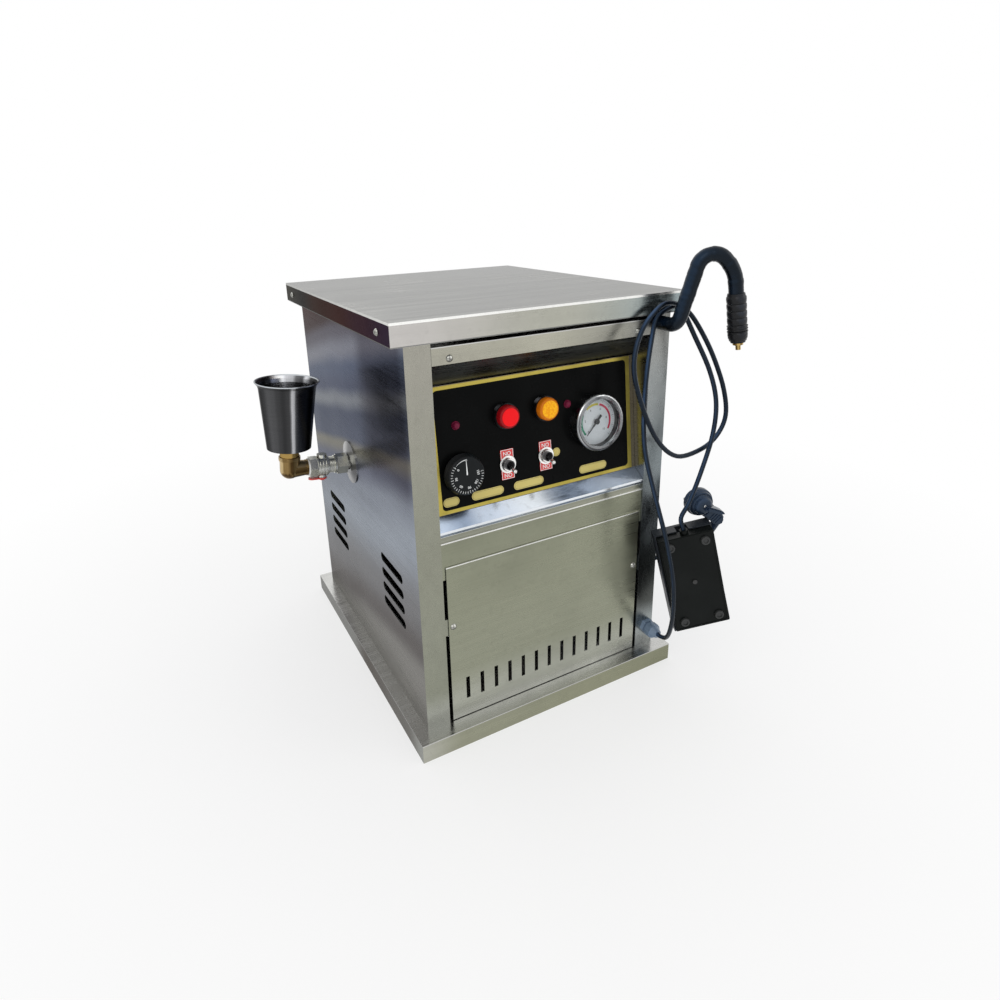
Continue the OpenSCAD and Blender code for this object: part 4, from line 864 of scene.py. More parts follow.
@dataclass(frozen=True)
class SpunSteel(Finish):
    """Spun stainless of the filler cup: upright painted reflection bands round its leaning axis, with a
    painted highlight on the lip.
    """

    middle: tuple[float, float, float] = (-254.69, 21.0, 305.06)
    lean: float = 5.0
    rim: float = 116.2
    spout_top: float = 24.7
    spout: Colour = (0.38, 0.25, 0.08)
    stops: Stops = ((0.0, (0.05, 0.05, 0.052)), (1.0, (0.05, 0.05, 0.052)))
    roughness: float = 0.2

    def fill(self, graph: Graph, shader: bpy.types.Node) -> None:
        """Fills the material's nodes.

        Args:
            graph: The material's tree.
            shader: Its surface shader.
        """
        place = graph.own_place()
        start = tuple(c * MM for c in self.middle)
        centred = graph.vector("SUBTRACT", place, start)
        sine, cosine = math.sin(math.radians(self.lean)), math.cos(math.radians(self.lean))
        x, z = (graph.add("ShaderNodeVectorMath", {0: centred, 1: way},
                          operation="DOT_PRODUCT").outputs["Value"]
                for way in ((cosine, 0.0, -sine), (sine, 0.0, cosine)))
        y = graph.parts(centred)[1]
        angle = graph.ranged(graph.math("ARCTAN2", y, x), -math.pi, math.pi)
        cloud = graph.noise(place, 16.0, 2.0)
        angle = graph.math("ADD", angle, graph.math("MULTIPLY", graph.math("SUBTRACT", cloud, 0.5), 0.02))
        grain = Effects.place(graph, "brushed_grain", Stretch=(30.0, 30.0, 900.0))
        colour = graph.ramp(angle, self.stops, smooth=True)
        # Painted highlight along the top of the rolled lip.
        bright = graph.ranged(z, (self.rim - 0.6) * MM, self.rim * MM)
        colour = graph.mix(bright, colour, (0.56, 0.59, 0.62, 1.0))
        plated = graph.ranged(z, (self.spout_top - 0.3) * MM, (self.spout_top + 0.3) * MM)
        colour = graph.mix(plated, (*self.spout, 1.0), colour)
        tone = graph.ranged(grain["Tone"], 0.0, 1.0, 0.93, 1.07)
        graph.feed(shader.inputs["Base Color"], graph.mix(1.0, colour, tone, "MULTIPLY"))
        graph.feed(shader.inputs["Roughness"], graph.ranged(grain["Tone"], 0.0, 1.0, self.roughness,
            self.roughness + 0.1))
        graph.feed(shader.inputs["Metallic"], 1.0)
        graph.feed(shader.inputs["Specular Tint"], (0.5, 0.5, 0.5, 1.0))
        bump(graph, shader, grain["Height"], 0.08, 0.00008)


@dataclass(frozen=True)
class Moulded(Finish):
    """Plastic, rubber or paint: two close colours, a fine pebble, a skin of gloss and, where lit is given, a
    painted highlight on the side that faces lit_from.
    """

    colour: Colour = (0.02, 0.02, 0.022)
    other: Colour | None = None
    roughness: float = 0.4
    gloss: float = 0.0
    shine: float = 0.5
    pebble: float = 900.0
    depth: float = 0.00006
    dust: float = 0.0
    sheen: Colour | None = None
    lit: Colour | None = None
    lit_from: tuple[float, float, float] = (-0.78, -0.28, 0.56)
    lit_span: tuple[float, float] = (0.5, 0.9)

    def fill(self, graph: Graph, shader: bpy.types.Node) -> None:
        """Fills the material's nodes.

        Args:
            graph: The material's tree.
            shader: Its surface shader.
        """
        grain = Effects.place(graph, "moulded_grain", Scale=self.pebble)
        marks = Effects.place(graph, "hand_marks", Scale=22.0)["Mask"]
        second = self.other or tuple(min(1.0, c * 1.35 + 0.002) for c in self.colour)
        colour = graph.mix(grain["Tone"], (*self.colour, 1.0), (*second, 1.0))
        colour = graph.mix(graph.math("MULTIPLY", marks, self.dust), colour, (0.30, 0.31, 0.32, 1.0))
        # Painted highlight: the colour turns to lit where the surface faces lit_from, broken up by a noise.
        if self.lit is not None:
            facing = graph.add("ShaderNodeVectorMath", {0: graph.own_normal(), 1: self.lit_from},
                               operation="DOT_PRODUCT")
            shone = graph.math("MULTIPLY", graph.ranged(facing.outputs["Value"], *self.lit_span),
                               graph.ranged(graph.noise(graph.own_place(), 26.0, 1.0), 0.35, 0.65, 0.25, 1.0))
            colour = graph.mix(shone, colour, (*self.lit, 1.0))
        graph.feed(shader.inputs["Base Color"], colour)
        graph.feed(shader.inputs["Roughness"], graph.ranged(marks, 0.0, 1.0, self.roughness,
            self.roughness + 0.14))
        graph.feed(shader.inputs["Specular IOR Level"], self.shine)
        if self.gloss:
            graph.feed(shader.inputs["Coat Weight"], self.gloss)
            graph.feed(shader.inputs["Coat Roughness"], 0.12)
        if self.sheen is not None:
            graph.feed(shader.inputs["Specular Tint"], (*self.sheen, 1.0))
        bump(graph, shader, grain["Height"], 0.4, self.depth)


@dataclass(frozen=True)
class Ink(Finish):
    """A printed mark: one ink with a faint break-up."""

    colour: Colour = (0.8, 0.8, 0.8)
    roughness: float = 0.45

    def fill(self, graph: Graph, shader: bpy.types.Node) -> None:
        """Fills the material's nodes.

        Args:
            graph: The material's tree.
            shader: Its surface shader.
        """
        marks = Effects.place(graph, "hand_marks", Scale=120.0)["Mask"]
        faded = tuple(c * 0.86 + 0.02 for c in self.colour)
        graph.feed(shader.inputs["Base Color"], graph.mix(marks, (*self.colour, 1.0), (*faded, 1.0)))
        graph.feed(shader.inputs["Roughness"], graph.ranged(marks, 0.0, 1.0, self.roughness,
            self.roughness + 0.1))


@dataclass(frozen=True)
class ClearGlass(Finish):
    """Flat window glass with faint dust."""

    tint: Colour = (0.96, 0.98, 0.98)

    def fill(self, graph: Graph, shader: bpy.types.Node) -> None:
        """Fills the material's nodes.

        Args:
            graph: The material's tree.
            shader: Its surface shader.
        """
        marks = Effects.place(graph, "hand_marks", Scale=40.0)["Mask"]
        graph.feed(shader.inputs["Base Color"], graph.mix(marks, (*self.tint, 1.0), (0.9, 0.92, 0.93, 1.0)))
        graph.feed(shader.inputs["Roughness"], graph.ranged(marks, 0.0, 1.0, 0.01, 0.06))
        graph.feed(shader.inputs["Transmission Weight"], 1.0)
        graph.feed(shader.inputs["IOR"], 1.25)


@dataclass(frozen=True)
class LensPlastic(Finish):
    """Coloured lens plastic: deep colour, moulded prisms and a bright face."""

    colour: Colour = (0.72, 0.02, 0.02)
    other: Colour = (0.5, 0.01, 0.01)
    roughness: float = 0.22
    prisms: float = 0.0
    glow: float = 0.15

    def fill(self, graph: Graph, shader: bpy.types.Node) -> None:
        """Fills the material's nodes.

        Args:
            graph: The material's tree.
            shader: Its surface shader.
        """
        place = graph.own_place()
        cells = graph.add("ShaderNodeTexVoronoi", {"Vector": place, "Scale": self.prisms or 500.0}).outputs[0]
        cloud = graph.noise(place, 90.0, 2.0)
        mask = graph.math("MULTIPLY", graph.ranged(cells, 0.1, 0.7), 0.9 if self.prisms else 0.25)
        mask = graph.math("ADD", mask, graph.math("MULTIPLY", cloud, 0.2), clamp=True)
        colour = graph.mix(mask, (*self.colour, 1.0), (*self.other, 1.0))
        graph.feed(shader.inputs["Base Color"], colour)
        graph.feed(shader.inputs["Emission Color"], colour)
        graph.feed(shader.inputs["Emission Strength"], self.glow)
        graph.feed(shader.inputs["Roughness"], graph.ranged(cloud, 0.3, 0.7, self.roughness,
            self.roughness + 0.12))
        graph.feed(shader.inputs["Coat Weight"], 0.05)
        graph.feed(shader.inputs["Specular IOR Level"], 0.14)
        bump(graph, shader, cells, 0.6 if self.prisms else 0.15, 0.0003)


# The cabinet's steel, sheet by sheet. Every colour run here is a painted reflection: light and dark bands,
# bright edges and darker faces set into the colour.
STEEL_SIDE = Tone(Axis.Z, 58, 528, (
    (0.0, (0.36, 0.35, 0.33)), (0.075, (0.20, 0.185, 0.18)), (0.18, (0.30, 0.30, 0.31)),
    (0.35, (0.42, 0.46, 0.52)),
    (0.45, (0.33, 0.36, 0.42)), (0.52, (0.20, 0.215, 0.28)), (0.57, (0.31, 0.30, 0.26)),
    (0.60, (0.14, 0.16, 0.22)),
    (0.67, (0.12, 0.14, 0.20)), (0.71, (0.32, 0.34, 0.37)), (0.75, (0.13, 0.15, 0.22)),
    (0.80, (0.15, 0.18, 0.26)),
    (0.85, (0.32, 0.33, 0.38)), (0.90, (0.17, 0.16, 0.19)), (0.94, (0.07, 0.04, 0.04)),
    (1.0, (0.08, 0.038, 0.034))), 0.03, 0.22)
CALM_SIDE = Tone(Axis.Z, 25, 495, ((0.0, (0.22, 0.24, 0.25)), (0.3, (0.34, 0.36, 0.38)),
                                   (0.55, (0.26, 0.28, 0.31)),
                                   (0.8, (0.33, 0.34, 0.36)), (1.0, (0.16, 0.16, 0.18))), 0.08)
FRONT_SHADE = Tone(Axis.Y, -201, 201, ((0.0, (0.75, 0.75, 0.75)), (0.06, (0.42, 0.40, 0.42)),
                                       (0.30, (0.40, 0.38, 0.42)),
                                       (0.45, (0.85, 0.85, 0.88)), (1.0, (1.0, 1.0, 1.0))), 0.08)
STEEL_INNER = plain((0.24, 0.25, 0.24))
SIDE_SHEET = SheetSteel("side_sheet_steel", side=STEEL_SIDE, shade=FRONT_SHADE, shade_above=318.0, front=Tone(
    Axis.Z, 25, 495, ((0.0, (0.46, 0.47, 0.43)), (0.12, (0.30, 0.31, 0.25)), (0.5, (0.285, 0.29, 0.235)),
                      (1.0, (0.35, 0.34, 0.295))), 0.06),
    top=STEEL_INNER, grain=UPRIGHT_GRAIN, roughness=0.24, streak=0.05, seed=3.0)
RIGHT_SHEET = SheetSteel("right_side_sheet_steel", side=CALM_SIDE, front=Tone(
    Axis.Z, 25, 495, ((0.0, (0.48, 0.50, 0.49)), (0.08, (0.34, 0.37, 0.37)), (0.16, (0.09, 0.095, 0.09)),
                      (0.30, (0.05, 0.055, 0.055)), (0.38, (0.17, 0.19, 0.20)), (0.6, (0.23, 0.26, 0.27)),
                      (0.8, (0.31, 0.33, 0.33)), (1.0, (0.35, 0.35, 0.33))), 0.03),
    top=STEEL_INNER, grain=UPRIGHT_GRAIN, roughness=0.24, streak=0.05, seed=7.0)
# The lid's lips take a dark red-brown painted reflection and its top painted teal and grey reflections; its
# top edge has a painted highlight and a painted shadow line runs under the lip.
LID_SHEET = SheetSteel("lid_sheet_steel", side=Tone(
    Axis.Y, -209, 217, ((0.0, (0.06, 0.045, 0.065)), (0.22, (0.07, 0.04, 0.05)), (0.4, (0.075, 0.034, 0.03)),
                        (0.6, (0.055, 0.022, 0.014)), (0.8, (0.022, 0.018, 0.014)),
                        (1.0, (0.05, 0.045, 0.03))), 0.04), front=Tone(
    Axis.X, -190, 190, ((0.0, (0.54, 0.52, 0.50)), (0.5, (0.44, 0.44, 0.38)), (1.0, (0.33, 0.39, 0.40))),
    0.05),
    top=Tone(Axis.X, -190, 190, ((0.0, (0.27, 0.26, 0.30)), (0.2, (0.20, 0.235, 0.26)),
                                 (0.45, (0.21, 0.30, 0.32)),
                                 (0.75, (0.29, 0.36, 0.36)), (1.0, (0.24, 0.33, 0.30))), 0.12),
    patches=plain((0.09, 0.20, 0.25), (0.20, 0.31, 0.30)), folds=((Axis.Z, 518.9, 1.6, 0.95),
        (Axis.Z, 495.6, 0.5, 0.22)), edge=0.4,
    grain=CROSS_GRAIN, roughness=0.16, streak=0.04, seed=11.0)
# The tray's top has a painted highlight along its front bend, and a painted highlight line runs along its
# foot.
TRAY_SHEET = SheetSteel("tray_sheet_steel", side=Tone(
    Axis.Y, -221, 221, ((0.0, (0.50, 0.51, 0.48)), (0.1, (0.26, 0.25, 0.23)), (0.45, (0.17, 0.15, 0.13)),
                        (0.6, (0.36, 0.36, 0.34)), (1.0, (0.40, 0.40, 0.38))), 0.06),
    front=Tone(Axis.X, -190, 190, ((0.0, (0.46, 0.46, 0.40)), (0.15, (0.34, 0.345, 0.26)),
                                   (0.7, (0.33, 0.335, 0.24)),
                                   (1.0, (0.28, 0.285, 0.20))), 0.05),
    top=Tone(Axis.Y, -221, 221, ((0.0, (0.80, 0.81, 0.77)), (0.045, (0.72, 0.73, 0.69)),
                                 (0.09, (0.26, 0.25, 0.235)),
                                 (0.5, (0.15, 0.135, 0.125)), (1.0, (0.24, 0.23, 0.215))), 0.01),
    folds=((Axis.Z, 23.9, 0.7, 0.6),), grain=CROSS_GRAIN, roughness=0.22, streak=0.05, seed=17.0)
FRONT_SHEET = SheetSteel("front_sheet_steel", side=STEEL_INNER, front=Tone(
    Axis.X, -145, 145, ((0.0, (0.38, 0.37, 0.31)), (0.45, (0.44, 0.43, 0.355)), (0.8, (0.34, 0.335, 0.29)),
                        (1.0, (0.24, 0.24, 0.225))), 0.07),
    top=STEEL_INNER, folds=((Axis.Z, 488.6, 0.6, 0.6),), grain=CROSS_GRAIN, roughness=0.24, streak=0.05,
    seed=23.0)
# The console's lip and bevel are painted reflections, with painted highlights on the rolled lip's edges.
CONSOLE_SHEET = SheetSteel("console_sheet_steel", side=STEEL_INNER, front=Tone(
    Axis.Z, 264, 293, ((0.0, (0.80, 0.81, 0.76)), (0.05, (0.80, 0.81, 0.76)), (0.08, (0.31, 0.315, 0.26)),
                       (0.31, (0.27, 0.275, 0.22)), (0.36, (0.84, 0.87, 0.90)), (0.6, (0.80, 0.84, 0.88)),
                       (0.66, (0.34, 0.29, 0.20)), (1.0, (0.30, 0.25, 0.16))), 0.0),
    top=Tone(Axis.X, -145, 145, ((0.0, (0.60, 0.70, 0.85)), (0.12, (0.34, 0.42, 0.55)),
                                 (0.2, (0.62, 0.70, 0.82)),
                                 (0.45, (0.80, 0.85, 0.90)), (0.6, (0.46, 0.56, 0.72)),
                                 (0.85, (0.55, 0.63, 0.74)),
                                 (1.0, (0.40, 0.44, 0.48))), 0.05),
    grain=CROSS_GRAIN, roughness=0.16, streak=0.04, seed=29.0)
# Lighter towards the foot: a painted reflection. The door's and apron's top edges carry painted highlight
# lines.
DOOR_FRONT = Tone(Axis.Z, 25, 267, ((0.0, (0.62, 0.63, 0.58)), (0.08, (0.44, 0.45, 0.39)),
                                    (0.3, (0.31, 0.32, 0.245)),
                                    (0.8, (0.285, 0.295, 0.22)), (1.0, (0.26, 0.27, 0.20))), 0.03)
DOOR_SHEET = SheetSteel("door_sheet_steel", side=STEEL_INNER, front=DOOR_FRONT, top=plain((0.7, 0.72, 0.68)),
                        folds=((Axis.Z, 236.0, 0.8, 0.85),), grain=CROSS_GRAIN, roughness=0.26, streak=0.05,
                        seed=31.0)
APRON_SHEET = SheetSteel("apron_sheet_steel", side=STEEL_INNER, front=DOOR_FRONT,
                         top=plain((0.7, 0.72, 0.68)),
                         folds=((Axis.Z, 266.2, 0.8, 0.85),), grain=CROSS_GRAIN, roughness=0.26, streak=0.05,
                         seed=33.0)
REAR_SHEET = SheetSteel("rear_sheet_steel", side=STEEL_INNER, front=Tone(
    Axis.Z, 25, 495, ((0.0, (0.24, 0.25, 0.24)), (0.5, (0.36, 0.37, 0.37)), (1.0, (0.28, 0.29, 0.30))), 0.09),
    top=STEEL_INNER, grain=CROSS_GRAIN, roughness=0.3, streak=0.08, seed=37.0)
BOILER_STEEL = SheetSteel("boiler_steel", side=plain((0.36, 0.35, 0.33)), front=plain((0.36, 0.35, 0.33)),
                          top=plain((0.40, 0.39, 0.36)), grain=(220.0, 5.0, 220.0), roughness=0.38, seed=41.0)
BRACKET_STEEL = SheetSteel("bracket_steel", side=plain((0.16, 0.165, 0.17)), front=plain((0.16, 0.165, 0.17)),
                           top=plain((0.19, 0.195, 0.2)), roughness=0.45, seed=43.0)

CHROME = BrightMetal("chrome")
NUT_CHROME = BrightMetal("nut_chrome", dark=(0.38, 0.37, 0.35), middle=(0.68, 0.67, 0.65),
                         light=(0.95, 0.95, 0.93), breadth=2.4, seed=5.0)
SCREW_ZINC = BrightMetal("screw_zinc", dark=(0.16, 0.16, 0.15), middle=(0.36, 0.36, 0.33),
                         light=(0.62, 0.62, 0.58), roughness=0.26)
VALVE_CHROME = BrightMetal("valve_chrome", dark=(0.16, 0.15, 0.12), middle=(0.50, 0.50, 0.44),
                           light=(0.86, 0.86, 0.82), roughness=0.2, seed=4.0)
FLANGE_CHROME = BrightMetal("flange_chrome", dark=(0.07, 0.07, 0.075), middle=(0.30, 0.30, 0.29),
                            light=(0.8, 0.8, 0.78), breadth=2.2, seed=9.0)
BRONZE = BrightMetal("dull_bronze", dark=(0.07, 0.04, 0.015), middle=(0.25, 0.165, 0.065),
                     light=(0.55, 0.42, 0.22), roughness=0.3, seed=2.0)
BRASS = BrightMetal("brass", dark=(0.16, 0.10, 0.03), middle=(0.48, 0.34, 0.12), light=(0.85, 0.68, 0.34),
                    roughness=0.22)
GOLD_FOIL = BrightMetal("gold_foil", dark=(0.32, 0.25, 0.05), middle=(0.56, 0.46, 0.10),
                        light=(0.72, 0.64, 0.20), roughness=0.3, wear=0.1)
LABEL_GOLD = Moulded("label_gold", (0.54, 0.44, 0.115), (0.62, 0.52, 0.16), roughness=0.35, gloss=0.1,
                     pebble=400.0)
SPRING_STEEL = BrightMetal("spring_steel", dark=(0.08, 0.08, 0.08), middle=(0.3, 0.3, 0.3),
                           light=(0.6, 0.6, 0.6), roughness=0.3)
HEATER_STEEL = BrightMetal("heater_steel", dark=(0.08, 0.07, 0.06), middle=(0.26, 0.24, 0.21),
                           light=(0.5, 0.47, 0.42), roughness=0.36)
# Brightness at each angle round the cup: painted reflection bands of light and dark.
CUP_REFLECTION_BANDS = (
    (0.0, 0.03), (0.02, 0.025), (0.06, 0.05), (0.098, 0.085), (0.13, 0.075), (0.16, 0.05), (0.189, 0.035),
    (0.224, 0.05),
    (0.232, 0.14), (0.238, 0.46), (0.251, 0.42), (0.262, 0.10), (0.286, 0.05), (0.323, 0.03), (0.356, 0.010),
    (0.385, 0.02), (0.41, 0.11), (0.44, 0.03), (0.50, 0.03), (0.56, 0.06), (0.60, 0.70), (0.625, 0.10),
    (0.66, 0.14),
    (0.69, 0.50), (0.72, 0.60), (0.745, 1.0), (0.80, 1.0), (0.825, 0.10), (0.87, 0.04), (0.92, 0.10),
    (1.0, 0.03))
CUP_STEEL = SpunSteel("cup_spun_steel", stops=tuple((at, (0.98 * v, 0.99 * v, 1.03 * v)) for at,
    v in CUP_REFLECTION_BANDS))

FILM_BLACK = Moulded("panel_film_black", (0.0022, 0.0024, 0.0024), (0.0030, 0.0033, 0.0033), roughness=0.22,
                     shine=0.04, pebble=500.0,
                     depth=0.00002, dust=0.004)
# The lit colours are painted highlights: a glint on the lamp collars, light on the knob's skirt.
COLLAR_BLACK = Moulded("lamp_collar_black", (0.0035, 0.0035, 0.004), roughness=0.24, gloss=0.1, shine=0.2,
                       lit=(0.30, 0.30, 0.32),
                       lit_from=(-0.62, -0.1, 0.78), lit_span=(0.93, 0.99))
KNOB_BLACK = Moulded("knob_black", (0.0035, 0.005, 0.006), roughness=0.3, shine=0.15, dust=0.01,
                     lit=(0.035, 0.036, 0.037),
                     lit_from=(-0.75, 0.0, 0.66), lit_span=(0.45, 0.95))
CASE_BLACK = Moulded("instrument_case_black", (0.03, 0.03, 0.032), roughness=0.42)
THERMOSTAT_BEIGE = Moulded("thermostat_beige", (0.42, 0.38, 0.28), roughness=0.5)
DIAL_WHITE = Moulded("dial_white", (0.74, 0.77, 0.80), (0.80, 0.82, 0.85), roughness=0.4, pebble=300.0)
NEEDLE_BLACK = Moulded("needle_black", (0.02, 0.022, 0.026), roughness=0.4)
PLATE_RED = Moulded("plate_red", (0.62, 0.025, 0.025), (0.68, 0.035, 0.03), roughness=0.3, gloss=0.3)
LEVER_RED = Moulded("lever_red", (0.60, 0.03, 0.02), (0.66, 0.05, 0.03), roughness=0.3, gloss=0.4, dust=0.05)
SEAL_WHITE = Moulded("seal_white", (0.76, 0.76, 0.73), roughness=0.55)
# Painted blue sheen on the sleeve and the wound end, through lit.
SLEEVE_RUBBER = Moulded("sleeve_rubber", (0.0016, 0.0020, 0.0028), (0.0026, 0.0034, 0.0052), roughness=0.26,
                        gloss=0.1, shine=0.2,
                        pebble=260.0, depth=0.00015, dust=0.004, sheen=(0.5, 0.72, 1.0),
                        lit=(0.008, 0.020, 0.042), lit_span=(0.6, 0.95))
WRAP_RUBBER = Moulded("wrap_rubber", (0.0020, 0.0021, 0.0028), (0.0045, 0.005, 0.007), roughness=0.28,
                      gloss=0.12, shine=0.2,
                      pebble=320.0, depth=0.00018, dust=0.01, lit=(0.02, 0.025, 0.036),
                      lit_from=(-0.3, -0.9, 0.3), lit_span=(0.8, 0.99))
PEDAL_PAINT = Moulded("pedal_paint", (0.0030, 0.0042, 0.0038), (0.005, 0.0065, 0.006), roughness=0.34,
                      shine=0.12, pebble=420.0,
                      depth=0.00012, dust=0.008)
PEDAL_GREY = Moulded("pedal_cover_paint", (0.015, 0.018, 0.023), (0.022, 0.027, 0.034), roughness=0.34,
                     shine=0.25, pebble=420.0,
                     depth=0.00012, dust=0.02)
FOOT_RUBBER = Moulded("foot_rubber", (0.014, 0.015, 0.015), roughness=0.5, pebble=600.0, dust=0.06)
SWITCH_BLACK = Moulded("switch_black", (0.02, 0.02, 0.02), roughness=0.4)
# Painted blue highlight on the cord, through lit.
CORD_JACKET = Moulded("cord_jacket", (0.0025, 0.0035, 0.006), (0.005, 0.008, 0.014), roughness=0.24,
                      gloss=0.1, shine=0.22, pebble=240.0,
                      depth=0.0001, dust=0.005, sheen=(0.5, 0.72, 1.0), lit=(0.05, 0.095, 0.19),
                      lit_span=(0.66, 0.97))
GLAND_NYLON = Moulded("gland_nylon", (0.15, 0.215, 0.31), (0.20, 0.27, 0.37), roughness=0.34, gloss=0.2,
                      dust=0.08)
GLAND_BLACK = Moulded("gland_black", (0.018, 0.018, 0.02), roughness=0.42)
# Painted blue highlight on the plug, through lit.
PLUG_BLUE = Moulded("plug_blue_black", (0.006, 0.010, 0.018), (0.016, 0.028, 0.052), roughness=0.24,
                    gloss=0.15, shine=0.3, pebble=240.0,
                    depth=0.0001, dust=0.005, sheen=(0.5, 0.72, 1.0), lit=(0.06, 0.10, 0.19))
# The lens walls are darker copies of the faces' plastic: painted shade on the sides of the lenses.
RED_FACE = LensPlastic("red_lens_face", (0.82, 0.004, 0.008), (0.74, 0.004, 0.007), roughness=0.4, glow=0.12)
RED_SIDE = LensPlastic("red_lens_side", (0.26, 0.003, 0.006), (0.40, 0.012, 0.016), roughness=0.2, glow=0.0)
AMBER_FACE = LensPlastic("amber_lens_face", (0.95, 0.56, 0.012), (0.80, 0.30, 0.004), roughness=0.34,
                         prisms=520.0, glow=0.10)
AMBER_SIDE = LensPlastic("amber_lens_side", (0.55, 0.13, 0.004), (0.72, 0.24, 0.008), roughness=0.2,
                         glow=0.03)
GEM_RED = LensPlastic("indicator_red", (0.10, 0.004, 0.022), (0.26, 0.015, 0.06), roughness=0.12, glow=0.0)
INK_WHITE = Ink("ink_white", (0.80, 0.82, 0.82))
INK_BLACK = Ink("ink_black", (0.02, 0.022, 0.025))
INK_GREEN = Ink("ink_green", (0.02, 0.30, 0.17))
INK_YELLOW = Ink("ink_yellow", (0.72, 0.62, 0.06))
INK_RED = Ink("ink_red", (0.66, 0.03, 0.09))
INK_UMBER = Ink("ink_umber", (0.10, 0.075, 0.02))
GLASS = ClearGlass("gauge_window")


def dress(finish: Finish, *nodes: str) -> None:
    """Gives CAD nodes that keep their shape a finish.

    Args:
        finish: The finish.
        *nodes: The nodes' names.
    """
    for name in nodes:
        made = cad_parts[name]
        if not made.material_slots:
            made.data.materials.append(finish.material())
        for slot in made.material_slots:
            slot.material = finish.material()
        LOG.info("%s: dressed in %s", name, finish.name)


# ---------------------------------------------------------------- repeats


class SetOut:
    """A Geometry Nodes tree that sets out copies of a shape in a ring, a row or a spiral."""

    tree: bpy.types.NodeTree | None = None

    @classmethod
    def _build(cls) -> bpy.types.NodeTree:
        """Builds the tree: points by number, a copy on each, then real meshes with a material.

        Returns:
            The tree.
        """
        tree = bpy.data.node_groups.new("set_out_copies", "GeometryNodeTree")
        face = tree.interface
        face.new_socket("Copy", in_out="INPUT", socket_type="NodeSocketObject")
        face.new_socket("Count", in_out="INPUT", socket_type="NodeSocketInt")
        for name in ("Radius", "First Angle", "Angle Step"):
            face.new_socket(name, in_out="INPUT", socket_type="NodeSocketFloat")
        for name in ("First", "Step"):
            face.new_socket(name, in_out="INPUT", socket_type="NodeSocketVector")
        face.new_socket("Material", in_out="INPUT", socket_type="NodeSocketMaterial")
        face.new_socket("Geometry", in_out="OUTPUT", socket_type="NodeSocketGeometry")
        g = Graph(tree)
        a = g.add("NodeGroupInput").outputs
        line = g.add("GeometryNodeMeshLine", {"Count": a["Count"], "Offset": (0.0, 0.0, 0.0)})
        index = g.add("GeometryNodeInputIndex").outputs[0]
        angle = g.math("ADD", a["First Angle"], g.math("MULTIPLY", index, a["Angle Step"]))
        on_ring = g.add("ShaderNodeCombineXYZ", {
            0: g.math("MULTIPLY", a["Radius"], g.math("COSINE", angle)),
            1: g.math("MULTIPLY", a["Radius"], g.math("SINE", angle)), 2: 0.0}).outputs[0]
        along = g.add("ShaderNodeVectorMath", {0: a["Step"], 3: index}, operation="SCALE").outputs[0]
        spot = g.vector("ADD", on_ring, along)
        spot = g.vector("ADD", spot, a["First"])
        points = g.add("GeometryNodeSetPosition", {"Geometry": line.outputs[0], "Position": spot}).outputs[0]
        turn = g.add("ShaderNodeCombineXYZ", {0: 0.0, 1: 0.0, 2: angle}).outputs[0]
        shape = g.add("GeometryNodeObjectInfo", {"Object": a["Copy"]}).outputs["Geometry"]
        copies = g.add("GeometryNodeInstanceOnPoints", {"Points": points, "Instance": shape,
            "Rotation": turn}).outputs[0]
        real = g.add("GeometryNodeRealizeInstances", {"Geometry": copies}).outputs[0]
        dressed = g.add("GeometryNodeSetMaterial", {"Geometry": real, "Material": a["Material"]}).outputs[0]
        g.add("NodeGroupOutput", {"Geometry": dressed})
        return tree

    @classmethod
    def make(cls, name: str, copy: Draft, place: Place, finish: Finish, count: int, slot: str,
             radius: float = 0.0, first_angle: float = 0.0, angle_step: float = 0.0,
             first: tuple[float, float, float] = (0.0, 0.0, 0.0), step: tuple[float, float, float] = (0.0,
                 0.0, 0.0),
             body: Body = Body.CABINET, replaces: Sequence[str] = (),
             printed: bool = False) -> bpy.types.Object:
        """Sets out copies of a drawn shape and makes one plain mesh of them.

        Args:
            name: The finished piece's name.
            copy: The shape that repeats, in local millimetres.
            place: Where the pattern's axes lie.
            finish: The finish of every copy.
            count: Number of copies.
            slot: The record's material slot; not used.
            radius: Radius of the ring, in mm.
            first_angle: Angle of the first copy, in degrees.
            angle_step: Angle from one copy to the next, in degrees.
            first: Shift of the first copy, in mm.
            step: Shift from one copy to the next, in mm.
            body: The body it rides on.
            replaces: CAD nodes that it stands for.
            printed: Whether it is an open print.

        Returns:
            The finished piece.
        """
        if cls.tree is None:
            cls.tree = cls._build()
        shape_mesh = bpy.data.meshes.new(name + "_shape")
        shape_mesh.from_pydata(copy.points, [], copy.faces)
        shape = bpy.data.objects.new(name + "_shape", shape_mesh)
        holder = bpy.data.objects.new(name + "_holder", bpy.data.meshes.new(name + "_holder"))
        for made in (shape, holder):
            bpy.context.scene.collection.objects.link(made)
        modifier = holder.modifiers.new("copies", "NODES")
        modifier.node_group = cls.tree
        values = {"Copy": shape, "Count": count, "Radius": float(radius),
                  "First Angle": math.radians(first_angle),
                  "Angle Step": math.radians(angle_step), "First": first, "Step": step,
                  "Material": finish.material()}
        for item in cls.tree.interface.items_tree:
            if item.in_out == "INPUT":
                modifier[item.identifier] = values[item.name]
        holder.update_tag()
        graph = bpy.context.evaluated_depsgraph_get()
        mesh = bpy.data.meshes.new_from_object(holder.evaluated_get(graph), depsgraph=graph)
        mesh.name = name
        for made in (holder, shape):
            spare = made.data
            bpy.data.objects.remove(made)
            bpy.data.meshes.remove(spare)
        if not mesh.materials:
            mesh.materials.append(finish.material())
        return settle(name, mesh, place, body, replaces, printed=printed)


# ---------------------------------------------------------------- cords

